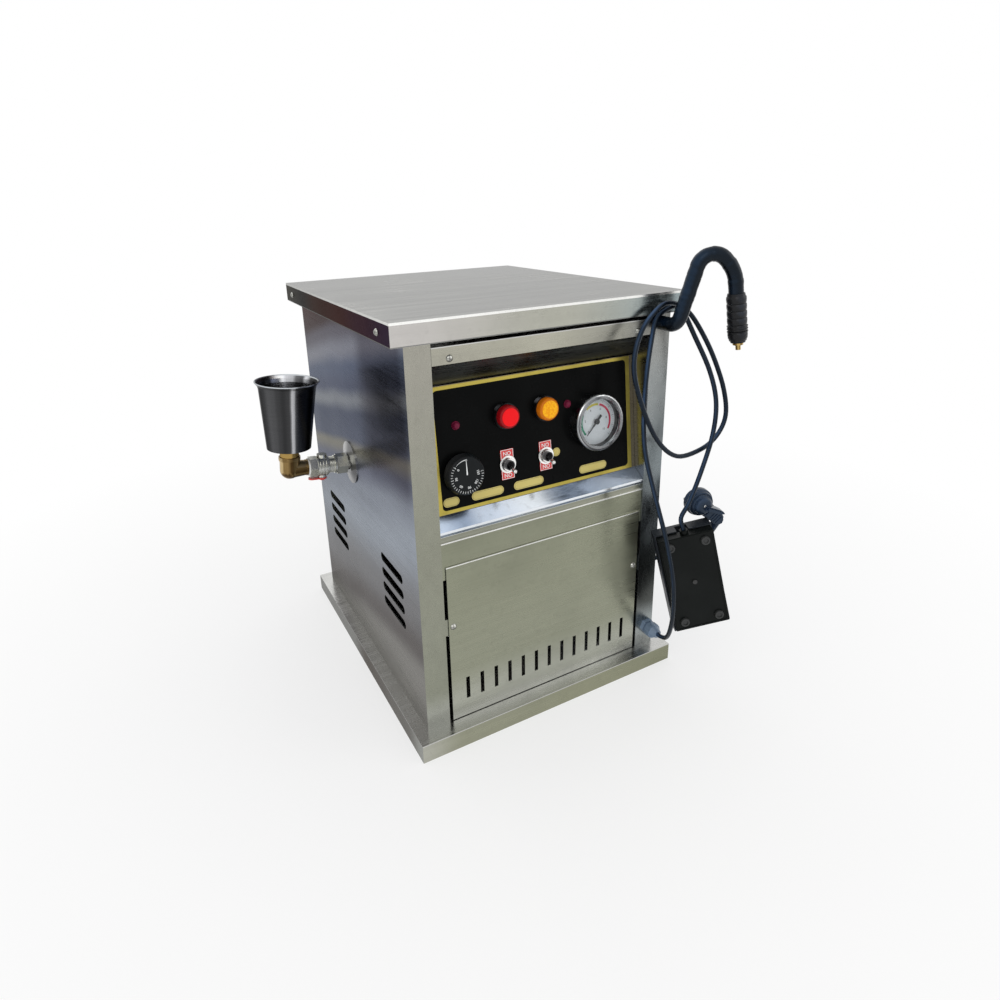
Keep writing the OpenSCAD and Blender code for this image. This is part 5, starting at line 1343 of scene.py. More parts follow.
PEDAL = Place((188.0, -261.0, 147.0), (-0.86805, 0.44266, -0.22479), (-0.17652, 0.14802, 0.97310),
              (0.46403, 0.88439, -0.05035))
PANEL_LEAN = math.radians(5.9)
PANEL = Place((0.0, -184.0, 293.0), (1.0, 0.0, 0.0), (0.0, math.sin(PANEL_LEAN), math.cos(PANEL_LEAN)),
              (0.0, -math.cos(PANEL_LEAN), math.sin(PANEL_LEAN)))
INLET_LEAN = math.radians(5.0)
INLET = Place((-174.0, 21.0, 298.0), (-math.cos(INLET_LEAN), 0.0, math.sin(INLET_LEAN)), (0.0, -1.0, 0.0),
              (math.sin(INLET_LEAN), 0.0, math.cos(INLET_LEAN)))


@dataclass
class Cord:
    """A free cord: its route in mm, its size, and what it stands for."""

    name: str
    route: list[Vector]
    diameter: float
    length: float
    far_end: str
    stiffness: str
    lay: str
    replaces: tuple[str, ...]
    carries: tuple[bpy.types.Object, ...] = ()

    def build(self) -> bpy.types.Object:
        """Returns:
            The cord's object.
        """
        curve = bpy.data.curves.new(self.name, "CURVE")
        curve.dimensions, curve.resolution_u = "3D", 6
        curve.bevel_depth, curve.bevel_resolution, curve.use_fill_caps = self.diameter / 2 * MM, 3, True
        line = curve.splines.new("BEZIER")
        line.bezier_points.add(len(self.route) - 1)
        last = len(self.route) - 1
        for i, (knot, point) in enumerate(zip(line.bezier_points, self.route)):
            before, after = self.route[max(i - 1, 0)], self.route[min(i + 1, last)]
            pull = (after - before) * (0.5 if 0 < i < last else 1.0) / 3
            knot.handle_left_type = knot.handle_right_type = "FREE"
            knot.co = point * MM
            knot.handle_left, knot.handle_right = (point - pull) * MM, (point + pull) * MM
        curve.materials.append(CORD_JACKET.material())
        made = bpy.data.objects.new(self.name, curve)
        bpy.context.scene.collection.objects.link(made)
        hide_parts(*self.replaces)
        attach(made, Body.CABINET.value)
        LOG.info("%s: %d points, %.3f m", self.name, len(self.route), line.calc_length())
        return made


@dataclass
class Cords:
    """The pedal's cord, and the mains lead with its coil and plug."""

    cord_d: float = 6.0
    lead_d: float = 7.0
    coil_at: tuple[float, float] = (130.0, 295.0)
    coil_rad: float = 39.0
    coil_loops: float = 3.5
    coil_pitch: float = 7.6
    coil_z0: float = 3.5
    plug_exit: tuple[float, float, float] = PLUG_EXIT

    def pedal_route(self) -> list[Vector]:
        """Lays the cord from the gland in the post, over the gooseneck twice, to the pedal.

        Returns:
            Points along it, in mm.
        """
        points = [
            (163, -226, 53), (163, -232, 53), (161, -244, 60), (156, -255, 80), (150, -264, 115),
            (143, -267, 165),
            (135, -258, 222), (127, -245, 273), (119, -230, 333), (121, -222, 382), (127, -217, 430),
            (136, -213, 472),
            (141, -213, 491), (153, -213, 499), (171, -213, 503), (190, -216, 493), (208, -223, 466),
            (225, -229, 433),
            (239, -235, 394), (243, -238, 360), (230, -238, 335), (204, -237, 321), (165, -236, 320),
            (132, -235, 348),
            (106, -233, 398), (96, -229, 443), (110, -223, 480), (136, -220, 504), (155, -220, 509),
            (172, -221, 500),
            (189, -228, 467), (207, -239, 424), (215, -246, 385), (212, -248, 344), (199, -247, 298),
            (185, -244, 256)]
        return [Vector(p) for p in points] + [PEDAL.point(0, 90, 8), PEDAL.point(0, 73, 8)]

    def lead_route(self) -> list[Vector]:
        """Lays the lead from the rear gland through the coil on the table to the plug.

        Returns:
            Points along it, in mm.
        """
        cx, cy = self.coil_at
        top = self.coil_z0 + self.coil_loops * self.coil_pitch
        end = Vector((cx - self.coil_rad, cy, top))
        points = [Vector(p) for p in ((91, 232, 86), (91, 240, 86), (91, 258, 76), (91, 266, 56),
                                      (91, 273, 38))]
        points += [end - Vector((0, self.lead_d + 7, 0)), end - Vector((0, self.lead_d, 0))]
        steps = 24
        count = round(self.coil_loops * steps)
        for i in range(count, -1, -1):
            t = math.tau * i / steps
            points.append(Vector((cx + self.coil_rad * math.cos(t), cy + self.coil_rad * math.sin(t),
                                  self.coil_z0 + self.coil_pitch * i / steps)))
        start = Vector((cx + self.coil_rad, cy, self.coil_z0))
        points += [start - Vector((0, self.lead_d, 0)), start - Vector((0, self.lead_d + 8, 0))]
        points += [Vector(p) for p in (
            (189, 240, 3.6), (198, 190, 3.7), (200, 130, 3.7), (201, 70, 4), (202, 20, 7), (204, -22, 20),
            (208, -60, 45), (214, -102, 80), (221, -140, 110), (228, -172, 134), (232, -200, 158))]
        way = Vector(LEAD_WAY).normalized()
        top_point = Vector(self.plug_exit) + way * 22
        return points + [top_point + way * 7, top_point]

    def build(self, plug: bpy.types.Object) -> None:
        """Builds both cords.

        Args:
            plug: The plug, which the mains lead carries.
        """
        Cord("pedal_cord_line", self.pedal_route(), self.cord_d, 1.32, "object", "medium", "hanging",
             ("pedal_cord",)).build()
        Cord("mains_lead_line", self.lead_route(), self.lead_d, 1.61, "plug", "medium", "coiled",
             ("mains_lead_rear", "mains_lead_coil", "mains_lead_front"), (plug,)).build()


@dataclass
class MainsPlug:
    """The angled plug: stepped round body, grip, finger fin, pins and tapered relief."""

    disc_d: float = 38.0

    def place(self) -> Place:
        """Sets the plug's axes: X down the grip, Z out of its back.

        Returns:
            The place.
        """
        w = Vector((-0.291, -0.956, -0.046)).normalized()
        down = Vector((0.695, -0.178, -0.696))
        u = (down - w * down.dot(w)).normalized()
        return Place((216.8, -231.5, 241.6), tuple(u), tuple(w.cross(u)), tuple(w))

    def build(self) -> bpy.types.Object:
        """Draws the plug, its grip ribs and its relief.

        Returns:
            The plug's body.
        """
        r = self.disc_d / 2
        draft, place = Draft(), self.place()
        draft.lathe([(0, -9), (r - 1.2, -9), (r, -7.8), (r, -1.6), (r - 0.8, -0.6), (r - 0.8, 0.6),
                     (r - 1.6, 1.2),
                     (r - 2.4, 4.4), (r - 3.6, 5.0), (r - 4.6, 5.0), (r - 5.2, 7.8), (r - 6.4, 8.6),
                     (r - 7.2, 11.6),
                     (r - 9.0, 13.4), (r - 12.0, 14.0), (0, 14.2)], 56)
        draft.prism([(10, -8), (31, -8), (34.5, -7.4), (38.5, -4.5), (40.4, 0), (38.5, 4.5), (34.5, 7.4),
                     (31, 8), (10, 8)], -4, 11)
        draft.prism([(11, -6.6), (31, -6.6), (36.5, -4.4), (38.6, 0), (36.5, 4.4), (31, 6.6), (11, 6.6)],
                    10.9, 13.6)
        turn = math.radians(23)
        bill = Place((0, 0, 0), (math.cos(turn), math.sin(turn), 0), (-math.sin(turn), math.cos(turn), 0))
        draft.prism([(1, -3.4), (20, -3.2), (27, -2.0), (30, 0), (27, 2.0), (20, 3.2), (1, 3.4)], 7, 17.5, 0,
                    bill)
        draft.prism([(3, -2.0), (24, -1.4), (28, 0), (24, 1.4), (3, 2.0)], 17.3, 19.8, 0, bill)
        for side in (-1, 1):
            draft.prism([(8, side * 7.6), (30, side * 7.6), (30, side * 9.2), (10, side * 10.4)][::side],
                        -2.0, 2.6)
            draft.lathe([(0, -28), (1.7, -28), (2.4, -26.6), (2.4, -18), (2.4, -8.8)], 20, 1,
                        Place((0, side * 9.5, 0)))
        draft.lathe([(0, 13.6), (1.9, 13.6), (1.9, 15.0), (1.3, 15.5), (0, 15.6)], 20, 1,
                    Place((-1.5, 1.0, 0)))
        ribs = Draft()
        ribs.prism(oblong(0.7, 6.0, 0.6, 3), 13.4, 14.5)
        SetOut.make("plug_grip_ribs", ribs, place, PLUG_BLUE, 4, "mains_plug", first=(19.0, 0.0, 0.0),
                    step=(4.0, 0.0, 0.0))
        made = draft.finish("mains_plug_body", place, [PLUG_BLUE, CHROME], slot="mains_plug",
                            replaces=("mains_plug",))
        relief = Draft()
        way = Place.along(PLUG_EXIT, LEAD_WAY)
        outline = [(0, -6), (6.6, -6)]
        for i in range(7):
            z, fat = -4.0 + i * 3.6, 6.9 - i * 0.36
            outline += [(fat, z), (fat, z + 2.1), (fat - 0.9, z + 2.4), (fat - 0.9, z + 3.3)]
        relief.lathe(outline + [(4.4, 21.6), (3.8, 22.0), (0, 22.0)], 28)
        relief.finish("plug_relief", way, [PLUG_BLUE], slot="mains_plug")
        return made


# ---------------------------------------------------------------- the machine's parts


@dataclass
class Studio:
    """Camera, lamps, world and floor."""

    camera_at: tuple[float, float, float] = (-0.4084, -0.8094, 0.6285)
    lens: float = 24.10
    shift: tuple[float, float] = (0.0148, -0.0748)
    right: tuple[float, float, float] = (0.878316, -0.477340, -0.026590)
    down: tuple[float, float, float] = (-0.174439, -0.268195, -0.947440)
    forward: tuple[float, float, float] = (0.445120, 0.836790, -0.318826)

    def build_camera(self) -> None:
        """Sets the camera at the photograph's view."""
        data = bpy.data.cameras.new("camera")
        data.lens, data.sensor_width = self.lens, 36.0
        data.shift_x, data.shift_y = self.shift
        data.clip_start, data.clip_end = 0.05, 60.0
        camera = bpy.data.objects.new("camera", data)
        bpy.context.scene.collection.objects.link(camera)
        rows = [[self.right[i], -self.down[i], -self.forward[i], self.camera_at[i]] for i in range(3)]
        camera.matrix_world = Matrix(rows + [[0, 0, 0, 1]])
        bpy.context.scene.camera = camera

    def build_lamps(self) -> None:
        """Sets three soft lamps round the machine."""
        lamps = (("key_lamp", (-1.5, -1.9, 2.1), 1.5, 7.0), ("fill_lamp", (2.0, -1.5, 1.5), 1.6, 5.0),
                 ("back_lamp", (0.2, 1.9, 2.2), 1.8, 4.0))
        for name, at, size, power in lamps:
            data = bpy.data.lights.new(name, "AREA")
            data.shape, data.size, data.energy = "DISK", size, power
            lamp = bpy.data.objects.new(name, data)
            bpy.context.scene.collection.objects.link(lamp)
            lamp.location = at
            lamp.rotation_euler = (Vector((0, 0, 0.25)) - Vector(at)).to_track_quat("-Z", "Y").to_euler()

    def build_world(self) -> None:
        """Makes the soft room: plain white where it is seen, and dimmer where it lights."""
        world = bpy.data.worlds.new("soft_room")
        bpy.context.scene.world = world
        world.use_nodes = True
        world.node_tree.nodes.clear()
        g = Graph(world.node_tree)
        rays = g.add("ShaderNodeLightPath").outputs
        seen = g.math("MAXIMUM", rays["Is Camera Ray"], g.math("MAXIMUM", rays["Is Glossy Ray"],
            rays["Is Transmission Ray"]))
        room = g.add("ShaderNodeBackground", {"Color": (1.0, 1.0, 1.0, 1.0), "Strength": 0.85})
        white = g.add("ShaderNodeBackground", {"Color": (1.0, 1.0, 1.0, 1.0), "Strength": 1.0})
        both = g.add("ShaderNodeMixShader", {0: seen, 1: room.outputs[0], 2: white.outputs[0]})
        g.add("ShaderNodeOutputWorld", {"Surface": both.outputs[0]})

    def build_floor(self) -> None:
        """Makes the pale floor, which fades into the white room away from the machine."""
        mesh = bpy.data.meshes.new("floor")
        half, cuts = 9.0, 12
        spots = [(-half + 2 * half * i / cuts, -half + 2 * half * j / cuts,
                  0.0) for j in range(cuts + 1) for i in range(cuts + 1)]
        mesh.from_pydata(spots, [],
                         [[j * (cuts + 1) + i, j * (cuts + 1) + i + 1, (j + 1) * (cuts + 1) + i + 1,
                                      (j + 1) * (cuts + 1) + i] for j in range(cuts) for i in range(cuts)])
        material = bpy.data.materials.new("pale_floor")
        material.use_nodes = True
        material.node_tree.nodes.clear()
        g = Graph(material.node_tree)
        place = g.own_place()
        away = g.add("ShaderNodeVectorMath", {0: place}, operation="LENGTH").outputs["Value"]
        fade = g.ranged(away, 0.30, 1.1, 0.6, 1.0)
        cloud = g.ranged(g.noise(place, 3.0, 3.0), 0.3, 0.7, 0.0, 1.0)
        paint = g.add("ShaderNodeBsdfPrincipled",
                      {"Base Color": g.mix(cloud, (0.90, 0.90, 0.90, 1.0), (0.92, 0.92, 0.92, 1.0)),
                                                   "Roughness": 0.7, "Specular IOR Level": 0.2})
        white = g.add("ShaderNodeEmission", {"Color": (1.0, 1.0, 1.0, 1.0), "Strength": 1.0})
        both = g.add("ShaderNodeMixShader", {0: fade, 1: paint.outputs[0], 2: white.outputs[0]})
        g.add("ShaderNodeOutputMaterial", {"Surface": both.outputs[0]})
        mesh.materials.append(material)
        floor = bpy.data.objects.new("floor", mesh)
        bpy.context.scene.collection.objects.link(floor)

    def build(self) -> None:
        """Builds the lamps, the world and the floor. The camera comes first, by itself."""
        bpy.context.scene.view_settings.view_transform = "Standard"
        self.build_lamps()
        self.build_world()
        self.build_floor()


@dataclass
class Cabinet:
    """Sheet-steel shell: base, sides, lid, header, console, apron, door and their screws."""

    def build(self) -> None:
        """Dresses the shell."""
        dress(TRAY_SHEET, "base_tray")
        dress(SIDE_SHEET, "left_side_panel")
        dress(RIGHT_SHEET, "right_side_panel")
        dress(REAR_SHEET, "rear_panel")
        dress(LID_SHEET, "top_lid")
        dress(FRONT_SHEET, "front_header")
        dress(CONSOLE_SHEET, "control_console")
        dress(DOOR_SHEET, "lower_door")
        dress(APRON_SHEET, "front_apron")
        dress(SCREW_ZINC, "cabinet_screws")


@dataclass
class ControlPanel:
    """Printed film with its border, label plates, lamps and small indicators."""

    film_t: float = 0.5
    print_t: float = 0.15
    lamp_s: float = 101.5
    lens_d: float = 26.6
    lens_h: float = 16.5
    lamp_xs: tuple[float, float] = (-46.0, 7.5)
    led_xs: tuple[float, float] = (-108.0, 42.0)
    label_h: float = 10.5
    labels: tuple[tuple[float, float, float], ...] = (
        (-131.0, -111.0, 13.8), (-95.0, -53.0, 13.8), (-39.0, 2.5, 13.8), (17.8, 28.0, 44.0),
        (55.5, 97.5, 13.8))

    def build_labels(self) -> None:
        """Draws the thin printed line round each bare label plate."""
        draft = Draft()
        top = self.film_t + self.print_t + 0.05
        for x0, x1, s in self.labels:
            half, high = (x1 - x0) / 2 - 1.0, self.label_h / 2 - 1.0
            outer = oblong(half, high, high - 0.01, 8)
            inner = oblong(half - 0.3, high - 0.3, high - 0.31, 8)
            draft.printed_line(outer, inner, ((x0 + x1) / 2, s), top)
        draft.finish("label_lines", PANEL, [INK_UMBER], slot="label_plates", printed=True)

    def build_lens(self, name: str, x: float, side: Finish, face: Finish, node: str) -> None:
        """Draws a ribbed lens with a raised flat face.

        Args:
            name: The piece's name.
            x: Its middle on the panel, in mm.
            side: Finish of its wall.
            face: Finish of its face.
            node: The CAD node that it stands for.
        """
        r, h = self.lens_d / 2, self.lens_h
        draft = Draft()
        draft.lathe([(r - 2, 1.5), (r, 1.5), (r, h - 3.2), (r - 0.9, h - 1.3), (r - 2.4, h - 0.6),
                     (r - 2.7, h - 0.6)], 72, 0)
        draft.lathe([(r - 2.7, h - 0.6), (r - 2.8, h - 0.2), (r - 3.2, h), (r - 6, h + 0.12), (0, h + 0.15)],
                    72, 1)
        draft.lathe([(r - 2, 1.5), (0, 1.5)], 72, 0)
        draft.finish(name, PANEL.moved(x, self.lamp_s, 0), [side, face], slot=node, replaces=(node,),
                     sharp=50)
        rib = Draft()
        rib.prism([(-0.1, -0.32), (0.22, -0.12), (0.22, 0.12), (-0.1, 0.32)], 2.0, h - 3.0)
        SetOut.make(name + "_ribs", rib, PANEL.moved(x, self.lamp_s, 0), side, 48, node, radius=r,
                    angle_step=7.5)

    def build_indicators(self) -> None:
        """Draws the two small faceted indicators."""
        draft = Draft()
        for x in self.led_xs:
            place = Place((x, self.lamp_s - 1.0, 0.0))
            draft.lathe([(0, 0.55), (5.0, 0.55), (5.0, 1.6), (4.6, 2.0), (4.2, 2.0)], 36, 0, place)
            draft.lathe([(4.2, 2.0), (4.0, 3.4), (2.9, 4.6), (1.4, 5.2), (0, 5.3)], 9, 0, place)
        draft.finish("small_indicator_gems", PANEL, [GEM_RED], slot="small_indicators",
                     replaces=("small_indicators",), flat=True)

    def build(self) -> None:
        """Builds the panel."""
        dress(FILM_BLACK, "panel_film")
        dress(GOLD_FOIL, "gold_border")
        dress(LABEL_GOLD, "label_plates")
        dress(COLLAR_BLACK, "lamp_bodies")
        self.build_labels()
        self.build_lens("red_lens", self.lamp_xs[0], RED_SIDE, RED_FACE, "red_lamp_lens")
        self.build_lens("amber_lens", self.lamp_xs[1], AMBER_SIDE, AMBER_FACE, "amber_lamp_lens")
        self.build_indicators()


@dataclass
class PressureGauge:
    """The gauge: case, bezel, printed dial, needle and window."""

    x: float = 79.5
    s: float = 73.0
    dial_top: float = 5.8

    def build(self) -> None:
        """Dresses the gauge and prints its dial."""
        dress(CASE_BLACK, "gauge_case")
        dress(CHROME, "gauge_bezel")
        dress(DIAL_WHITE, "gauge_dial")
        dress(NEEDLE_BLACK, "gauge_needle")
        dress(GLASS, "gauge_glass")
        place = PANEL.moved(self.x, self.s, 0)
        top = self.dial_top + 0.06
        draft = Draft()
        draft.band(21.4, 2.7, 222, 150, top, 1)
        draft.band(21.4, 2.7, 128, 78, top, 2)
        draft.band(21.4, 2.7, 73, -34, top, 3)
        for i in range(6):
            angle = math.radians(225 - 54 * i)
            spot = Place((16.2 * math.cos(angle), 16.2 * math.sin(angle), top))
            draft.words(str(2 * i), 2.8, spot, 0)
        draft.finish("dial_print", place, [INK_BLACK, INK_GREEN, INK_YELLOW, INK_RED], slot="gauge_dial",
                     printed=True)
        long_mark, short_mark = bar(-1.6, 1.6, 0.22, top), bar(-0.8, 0.8, 0.12, top)
        SetOut.make("dial_long_marks", long_mark, place, INK_BLACK, 11, "gauge_dial", radius=26.2,
                    first_angle=-45,
                    angle_step=27, printed=True)
        SetOut.make("dial_short_marks", short_mark, place, INK_BLACK, 51, "gauge_dial", radius=26.8,
                    first_angle=-45,
                    angle_step=5.4, printed=True)


@dataclass
class Thermostat:
    """The thermostat's knob with its printed scale."""

    x: float = -105.5
    s: float = 45.0
    face: float = 15.5
    first: float = 140.0
    spread: float = 227.0

    def build(self) -> None:
        """Dresses the knob and prints its scale, which turns with it."""
        dress(KNOB_BLACK, "thermostat_knob")
        dress(THERMOSTAT_BEIGE, "thermostat_body")
        place = PANEL.moved(self.x, self.s, 0)
        top = self.face + 0.06
        draft = Draft()
        for i, number in enumerate((0, 30, 60, 90, 120, 150)):
            angle = math.radians(self.first + self.spread * i / 5)
            out = (math.cos(angle), math.sin(angle), 0.0)
            across = (math.sin(angle), -math.cos(angle), 0.0)
            draft.words(str(number), 3.0, Place((13.6 * out[0], 13.6 * out[1], top), across, out,
                                                (0.0, 0.0, 1.0)))
        draft.band(18.6, 0.9, 92, 136, top, thin=0.15)
        draft.band(0.9, 0.35, 0, 360, top)
        draft.points[-98:] = [p + Vector((0.0, 18.3, 0.0)) for p in draft.points[-98:]]
        draft.add([(-0.25, 17.2, top), (-0.85, 1.6, top), (0.0, 0.9, top), (0.85, 1.6, top),
                   (0.25, 17.2, top)], [[0, 1, 2, 3, 4]])
        draft.finish("knob_scale", place, [INK_WHITE], body=Body.KNOB, slot="thermostat_knob", printed=True)
        long_mark, short_mark = bar(-1.5, 1.5, 0.3, top), bar(-1.0, 1.5, 0.24, top)
        SetOut.make("knob_long_marks", long_mark, place, INK_WHITE, 6, "thermostat_knob", radius=18.6,
                    first_angle=self.first, angle_step=self.spread / 5, body=Body.KNOB, printed=True)
        SetOut.make("knob_short_marks", short_mark, place, INK_WHITE, 26, "thermostat_knob", radius=18.9,
                    first_angle=self.first, angle_step=self.spread / 25, body=Body.KNOB, printed=True)
        flute = Draft()
        flute.prism([(-0.15, -0.75), (0.45, -0.3), (0.45, 0.3), (-0.15, 0.75)], 3.4, 13.2)
        SetOut.make("knob_grip_ribs", flute, place, KNOB_BLACK, 36, "thermostat_knob", radius=22.4,
                    angle_step=10,
                    body=Body.KNOB)


@dataclass
class Toggles:
    """Two toggle switches with their red plates, dress nuts and bat levers."""

    xs: tuple[float, float] = (-46.0, 7.0)
    s: float = 43.0
    plate_w: float = 17.0
    plate_h: float = 36.0
    plate_top: float = 1.5

    def build(self) -> None:
        """Dresses the switches and prints their plates."""
        dress(CASE_BLACK, "toggle_bodies")
        dress(PLATE_RED, "toggle_plates")
        dress(NUT_CHROME, "toggle_nuts", "left_toggle_lever", "right_toggle_lever")
        draft = Draft()
        top = self.plate_top + 0.05
        for x in self.xs:
            outer = oblong(self.plate_w / 2 - 0.2, self.plate_h / 2 - 0.2, 0.5, 3)
            inner = oblong(self.plate_w / 2 - 0.8, self.plate_h / 2 - 0.8, 0.3, 3)
            draft.printed_line(outer, inner, (x, self.s), top)
            for up in (-1, 1):
                draft.words("ON", 5.0, Place((x, self.s + up * 13.3, top), (-1.0, 0.0, 0.0),
                                             (0.0, -1.0, 0.0)))
        draft.finish("toggle_plate_print", PANEL, [INK_WHITE], slot="toggle_plates", printed=True)
        ridge = Draft()
        ridge.prism([(-0.3, -0.5), (0.25, -0.2), (0.25, 0.2), (-0.3, 0.5)], 1.55, 2.6)
        for name, x in zip(("left", "right"), self.xs):
            SetOut.make(f"{name}_nut_knurl", ridge, PANEL.moved(x, self.s, 0), NUT_CHROME, 40, "toggle_nuts",
                        radius=10.5, angle_step=9)


@dataclass
class SteamOutlet:
    """The gooseneck: pipe, black sleeve, wound end and jet."""

    sleeve_d: float = 18.6
    wrap_d: float = 22.4
    wrap_l: float = 54.0
    bends: tuple[float, ...] = (13.0, 18.0, 45.0)
    step: float = 1.5
    drawn_in: float = 0.9

    def route(self) -> list[Vector]:
        """Returns the sleeve's corners, in mm."""
        return [Vector(p) for p in ((154.0, -201.2, 484.0), (154.0, -234.0, 484.0), (176.0, -248.8, 582.6),
                                    (206.2, -265.3, 545.7), (215.4, -270.2, 463.6))]

    def build(self) -> None:
        """Draws the sleeve and the wound end."""
        dress(BRASS, "outlet_fitting", "nozzle_tip")
        dress(SPRING_STEEL, "steam_gooseneck")
        path = even_path(rounded_path(self.route(), self.bends, 24), self.step)
        count = len(path)
        radii = []
        for i in range(count):
            run = i * self.step
            fold = 0.12 * math.sin(run * 0.31) + 0.08 * math.sin(run * 0.83 + 1.0)
            wound = 0.28 * (1.0 - (run % 11.0) / 11.0) if run > 60 else 0.0
            radii.append(self.sleeve_d / 2 - self.drawn_in + fold + wound)
        draft = Draft()
        draft.tube(path, radii, 32)
        draft.finish("gooseneck_sleeve_skin", Place((0, 0, 0)), [SLEEVE_RUBBER], slot="gooseneck_sleeve",
                     replaces=("gooseneck_sleeve",))
        foot, back = self.route()[-1], self.route()[-2]
        way = Place.along(foot, foot - back)
        r, s = self.wrap_d / 2, self.sleeve_d / 2
        outline = [(s - 0.4, -self.wrap_l - 3), (s + 0.4, -self.wrap_l - 3), (s + 0.9, -self.wrap_l - 0.5)]
        for i in range(6):
            z = -self.wrap_l + 8.2 * i
            outline += [(r - 0.9, z + 0.2), (r - 0.1, z + 1.0), (r + 0.05, z + 4.0), (r - 0.35, z + 7.6)]
        outline += [(r - 0.6, -4.6), (r - 1.2, -3.9), (r - 1.4, -2.2), (r - 3.2, -1.0), (s - 2.6, -0.2),
                    (s - 3.2, 0.0), (0, 0.0)]
        wrap = Draft()
        wrap.lathe([(0, -self.wrap_l - 3)] + outline, 40)
        wrap.finish("nozzle_wound_end", way, [WRAP_RUBBER], slot="nozzle_wrap", replaces=("nozzle_wrap",),
                    sharp=60)
        ring = Draft()
        ring.lathe(ring_profile(r + 0.1, 0.55, 0.0), 40)
        SetOut.make("nozzle_wrap_rings", ring, way, WRAP_RUBBER, 3, "nozzle_wrap", first=(0, 0, -13.0),
                    step=(0, 0, -3.2))


@dataclass
class WaterInlet:
    """The side inlet: wall flange, valve, seal ring, elbow and filler cup."""

    elbow_out: float = 81.0

    def build(self) -> None:
        """Dresses the inlet and cuts its threads."""
        dress(FLANGE_CHROME, "wall_flange")
        dress(VALVE_CHROME, "inlet_valve")
        dress(LEVER_RED, "inlet_valve_lever")
        dress(SEAL_WHITE, "inlet_seal_ring")
        dress(BRONZE, "inlet_elbow")
        dress(CUP_STEEL, "filler_cup")
        line = Place.along(INLET.point(0, 0, 0), INLET.x)
        thread = Draft()
        thread.lathe(ring_profile(10.5, 0.45, 0.0), 40)
        SetOut.make("valve_thread_rings", thread, line, VALVE_CHROME, 6, "inlet_valve", first=(0, 0, 24.4),
                    step=(0, 0, 1.4))
        bead = Draft()
        bead.lathe(ring_profile(13.3, 0.5, 0.0), 40)
        SetOut.make("valve_ball_housing_rings", bead, line, VALVE_CHROME, 3, "inlet_valve",
                    first=(0, 0, 36.0), step=(0, 0, 3.9))
        collar = Draft()
        collar.lathe(ring_profile(13.4, 0.35, 0.0), 40)
        SetOut.make("elbow_collar_rings", collar, INLET.moved(self.elbow_out, 0, 0), BRONZE, 3, "inlet_elbow",
                    first=(0, 0, 14.2), step=(0, 0, 1.3))


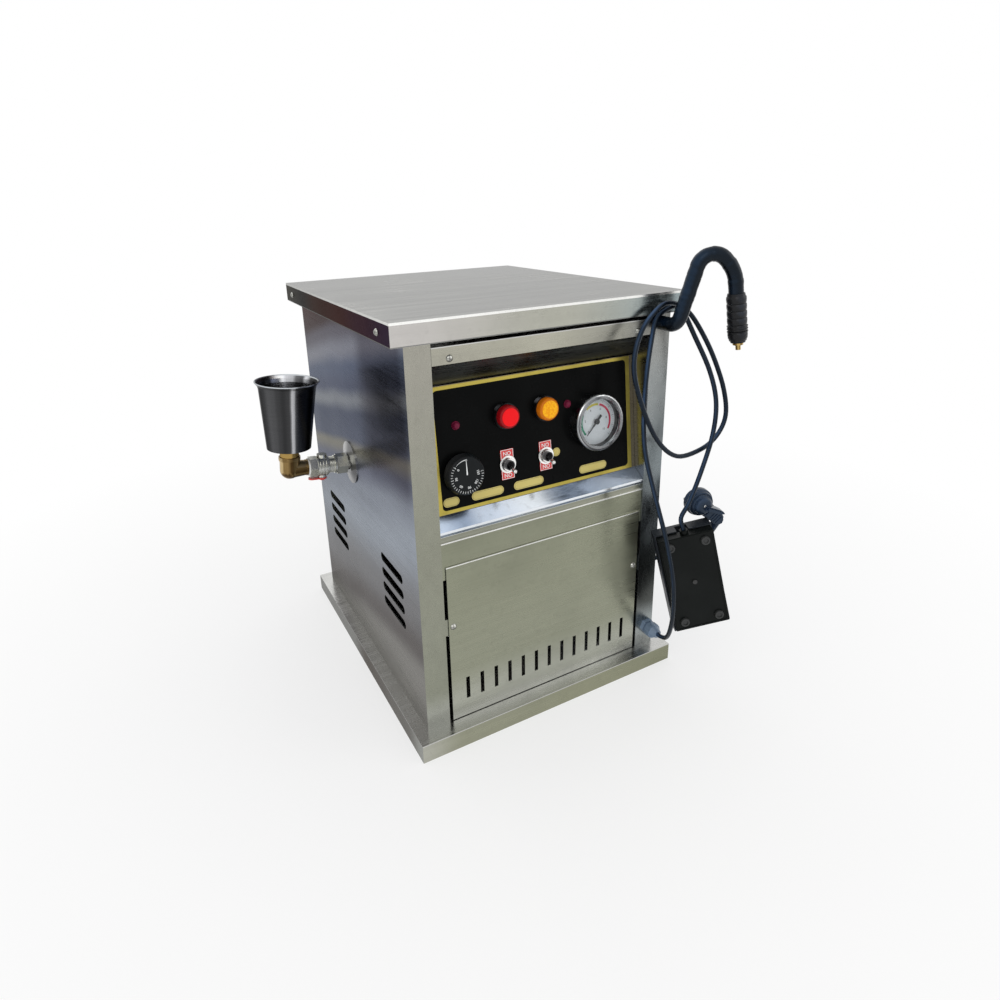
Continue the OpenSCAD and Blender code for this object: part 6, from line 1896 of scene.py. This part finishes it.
@dataclass
class FootPedal:
    """The pedal that hangs at the right: base, hinged cover, feet, pin, spring and switch."""

    feet_x: float = 23.0
    feet_y: float = 55.5

    def build(self) -> None:
        """Dresses the pedal and draws its ribs, rim and feet."""
        dress(PEDAL_PAINT, "pedal_base")
        dress(PEDAL_GREY, "pedal_treadle")
        dress(SPRING_STEEL, "pedal_spring")
        dress(SCREW_ZINC, "pedal_pin")
        dress(SWITCH_BLACK, "pedal_switch")
        foot = Draft()
        foot.lathe([(0, 0.4), (6.0, 0.4), (6.0, -2.4), (5.4, -3.3), (4.4, -3.5), (3.6, -3.3), (3.2, -2.2),
                    (0, -2.2)], 28)
        for i, side in enumerate((-1, 1)):
            name = ("left", "right")[i]
            SetOut.make(f"pedal_feet_{name}", foot, PEDAL, FOOT_RUBBER, 2, "pedal_feet",
                        first=(side * self.feet_x, -self.feet_y, 0.0), step=(0.0, 2 * self.feet_y, 0.0),
                        replaces=("pedal_feet",) if i == 0 else ())
        rim = Draft()
        rim.frame_ring(oblong(34.4, 66.4, 3.0), oblong(32.8, 64.8, 2.4), -0.7, 0.2)
        rim.finish("pedal_base_rim", PEDAL, [PEDAL_PAINT], slot="pedal_base")
        rise = math.atan2(8.0, 140.0)
        top = Place(tuple(PEDAL.point(0, 0, 28.0)), PEDAL.x,
                    tuple(Vector(PEDAL.y) * math.cos(rise) + Vector(PEDAL.z) * math.sin(rise)),
                    tuple(Vector(PEDAL.z) * math.cos(rise) - Vector(PEDAL.y) * math.sin(rise)))
        rib = Draft()
        rib.prism(oblong(29.0, 1.1, 1.0, 4), -0.3, 1.0)
        SetOut.make("treadle_grip_ribs", rib, top, PEDAL_GREY, 12, "pedal_treadle", first=(0, -58.0, 0),
                    step=(0, 8.0, 0),
                    body=Body.TREADLE)


@dataclass
class Glands:
    """The cord gland in the post and the mains gland in the rear panel."""

    def build(self) -> None:
        """Dresses both and adds the grip ribs of their domed nuts."""
        dress(GLAND_NYLON, "cord_gland")
        dress(GLAND_BLACK, "mains_gland")
        rib = Draft()
        rib.prism([(-0.3, -0.7), (0.5, -0.35), (0.5, 0.35), (-0.3, 0.7)], 9.0, 16.8)
        SetOut.make("cord_gland_ribs", rib, Place.along((163.0, -201.0, 53.0), (0, -1, 0)), GLAND_NYLON, 16,
                    "cord_gland",
                    radius=10.0, angle_step=22.5)
        ring = Draft()
        ring.lathe(ring_profile(6.2, 0.7, 0.0), 28)
        SetOut.make("mains_gland_rings", ring, Place.along((91.0, 201.0, 86.0), (0, 1, 0)), GLAND_BLACK, 5,
                    "mains_gland",
                    first=(0, 0, 9.5), step=(0, 0, 3.6))


@dataclass
class Boiler:
    """The boiler and its fittings, seen only through the vents."""

    def build(self) -> None:
        """Dresses the inner parts."""
        dress(BOILER_STEEL, "boiler_shell")
        dress(BRACKET_STEEL, "boiler_cradle")
        dress(HEATER_STEEL, "heating_element")
        dress(BRASS, "safety_valve", "steam_valve")
        dress(SPRING_STEEL, "boiler_pipes")


def main() -> None:
    """Builds the scene in order: camera, cords, then each part of the machine."""
    studio = Studio()
    studio.build_camera()
    Cords().build(MainsPlug().build())
    for part in (Cabinet(), ControlPanel(), PressureGauge(), Thermostat(), Toggles(), SteamOutlet(),
                 WaterInlet(),
                 FootPedal(), Glands(), Boiler()):
        LOG.info("building %s", type(part).__name__)
        part.build()
    studio.build()
    bpy.context.view_layer.update()


if __name__ == "__main__":
    main()
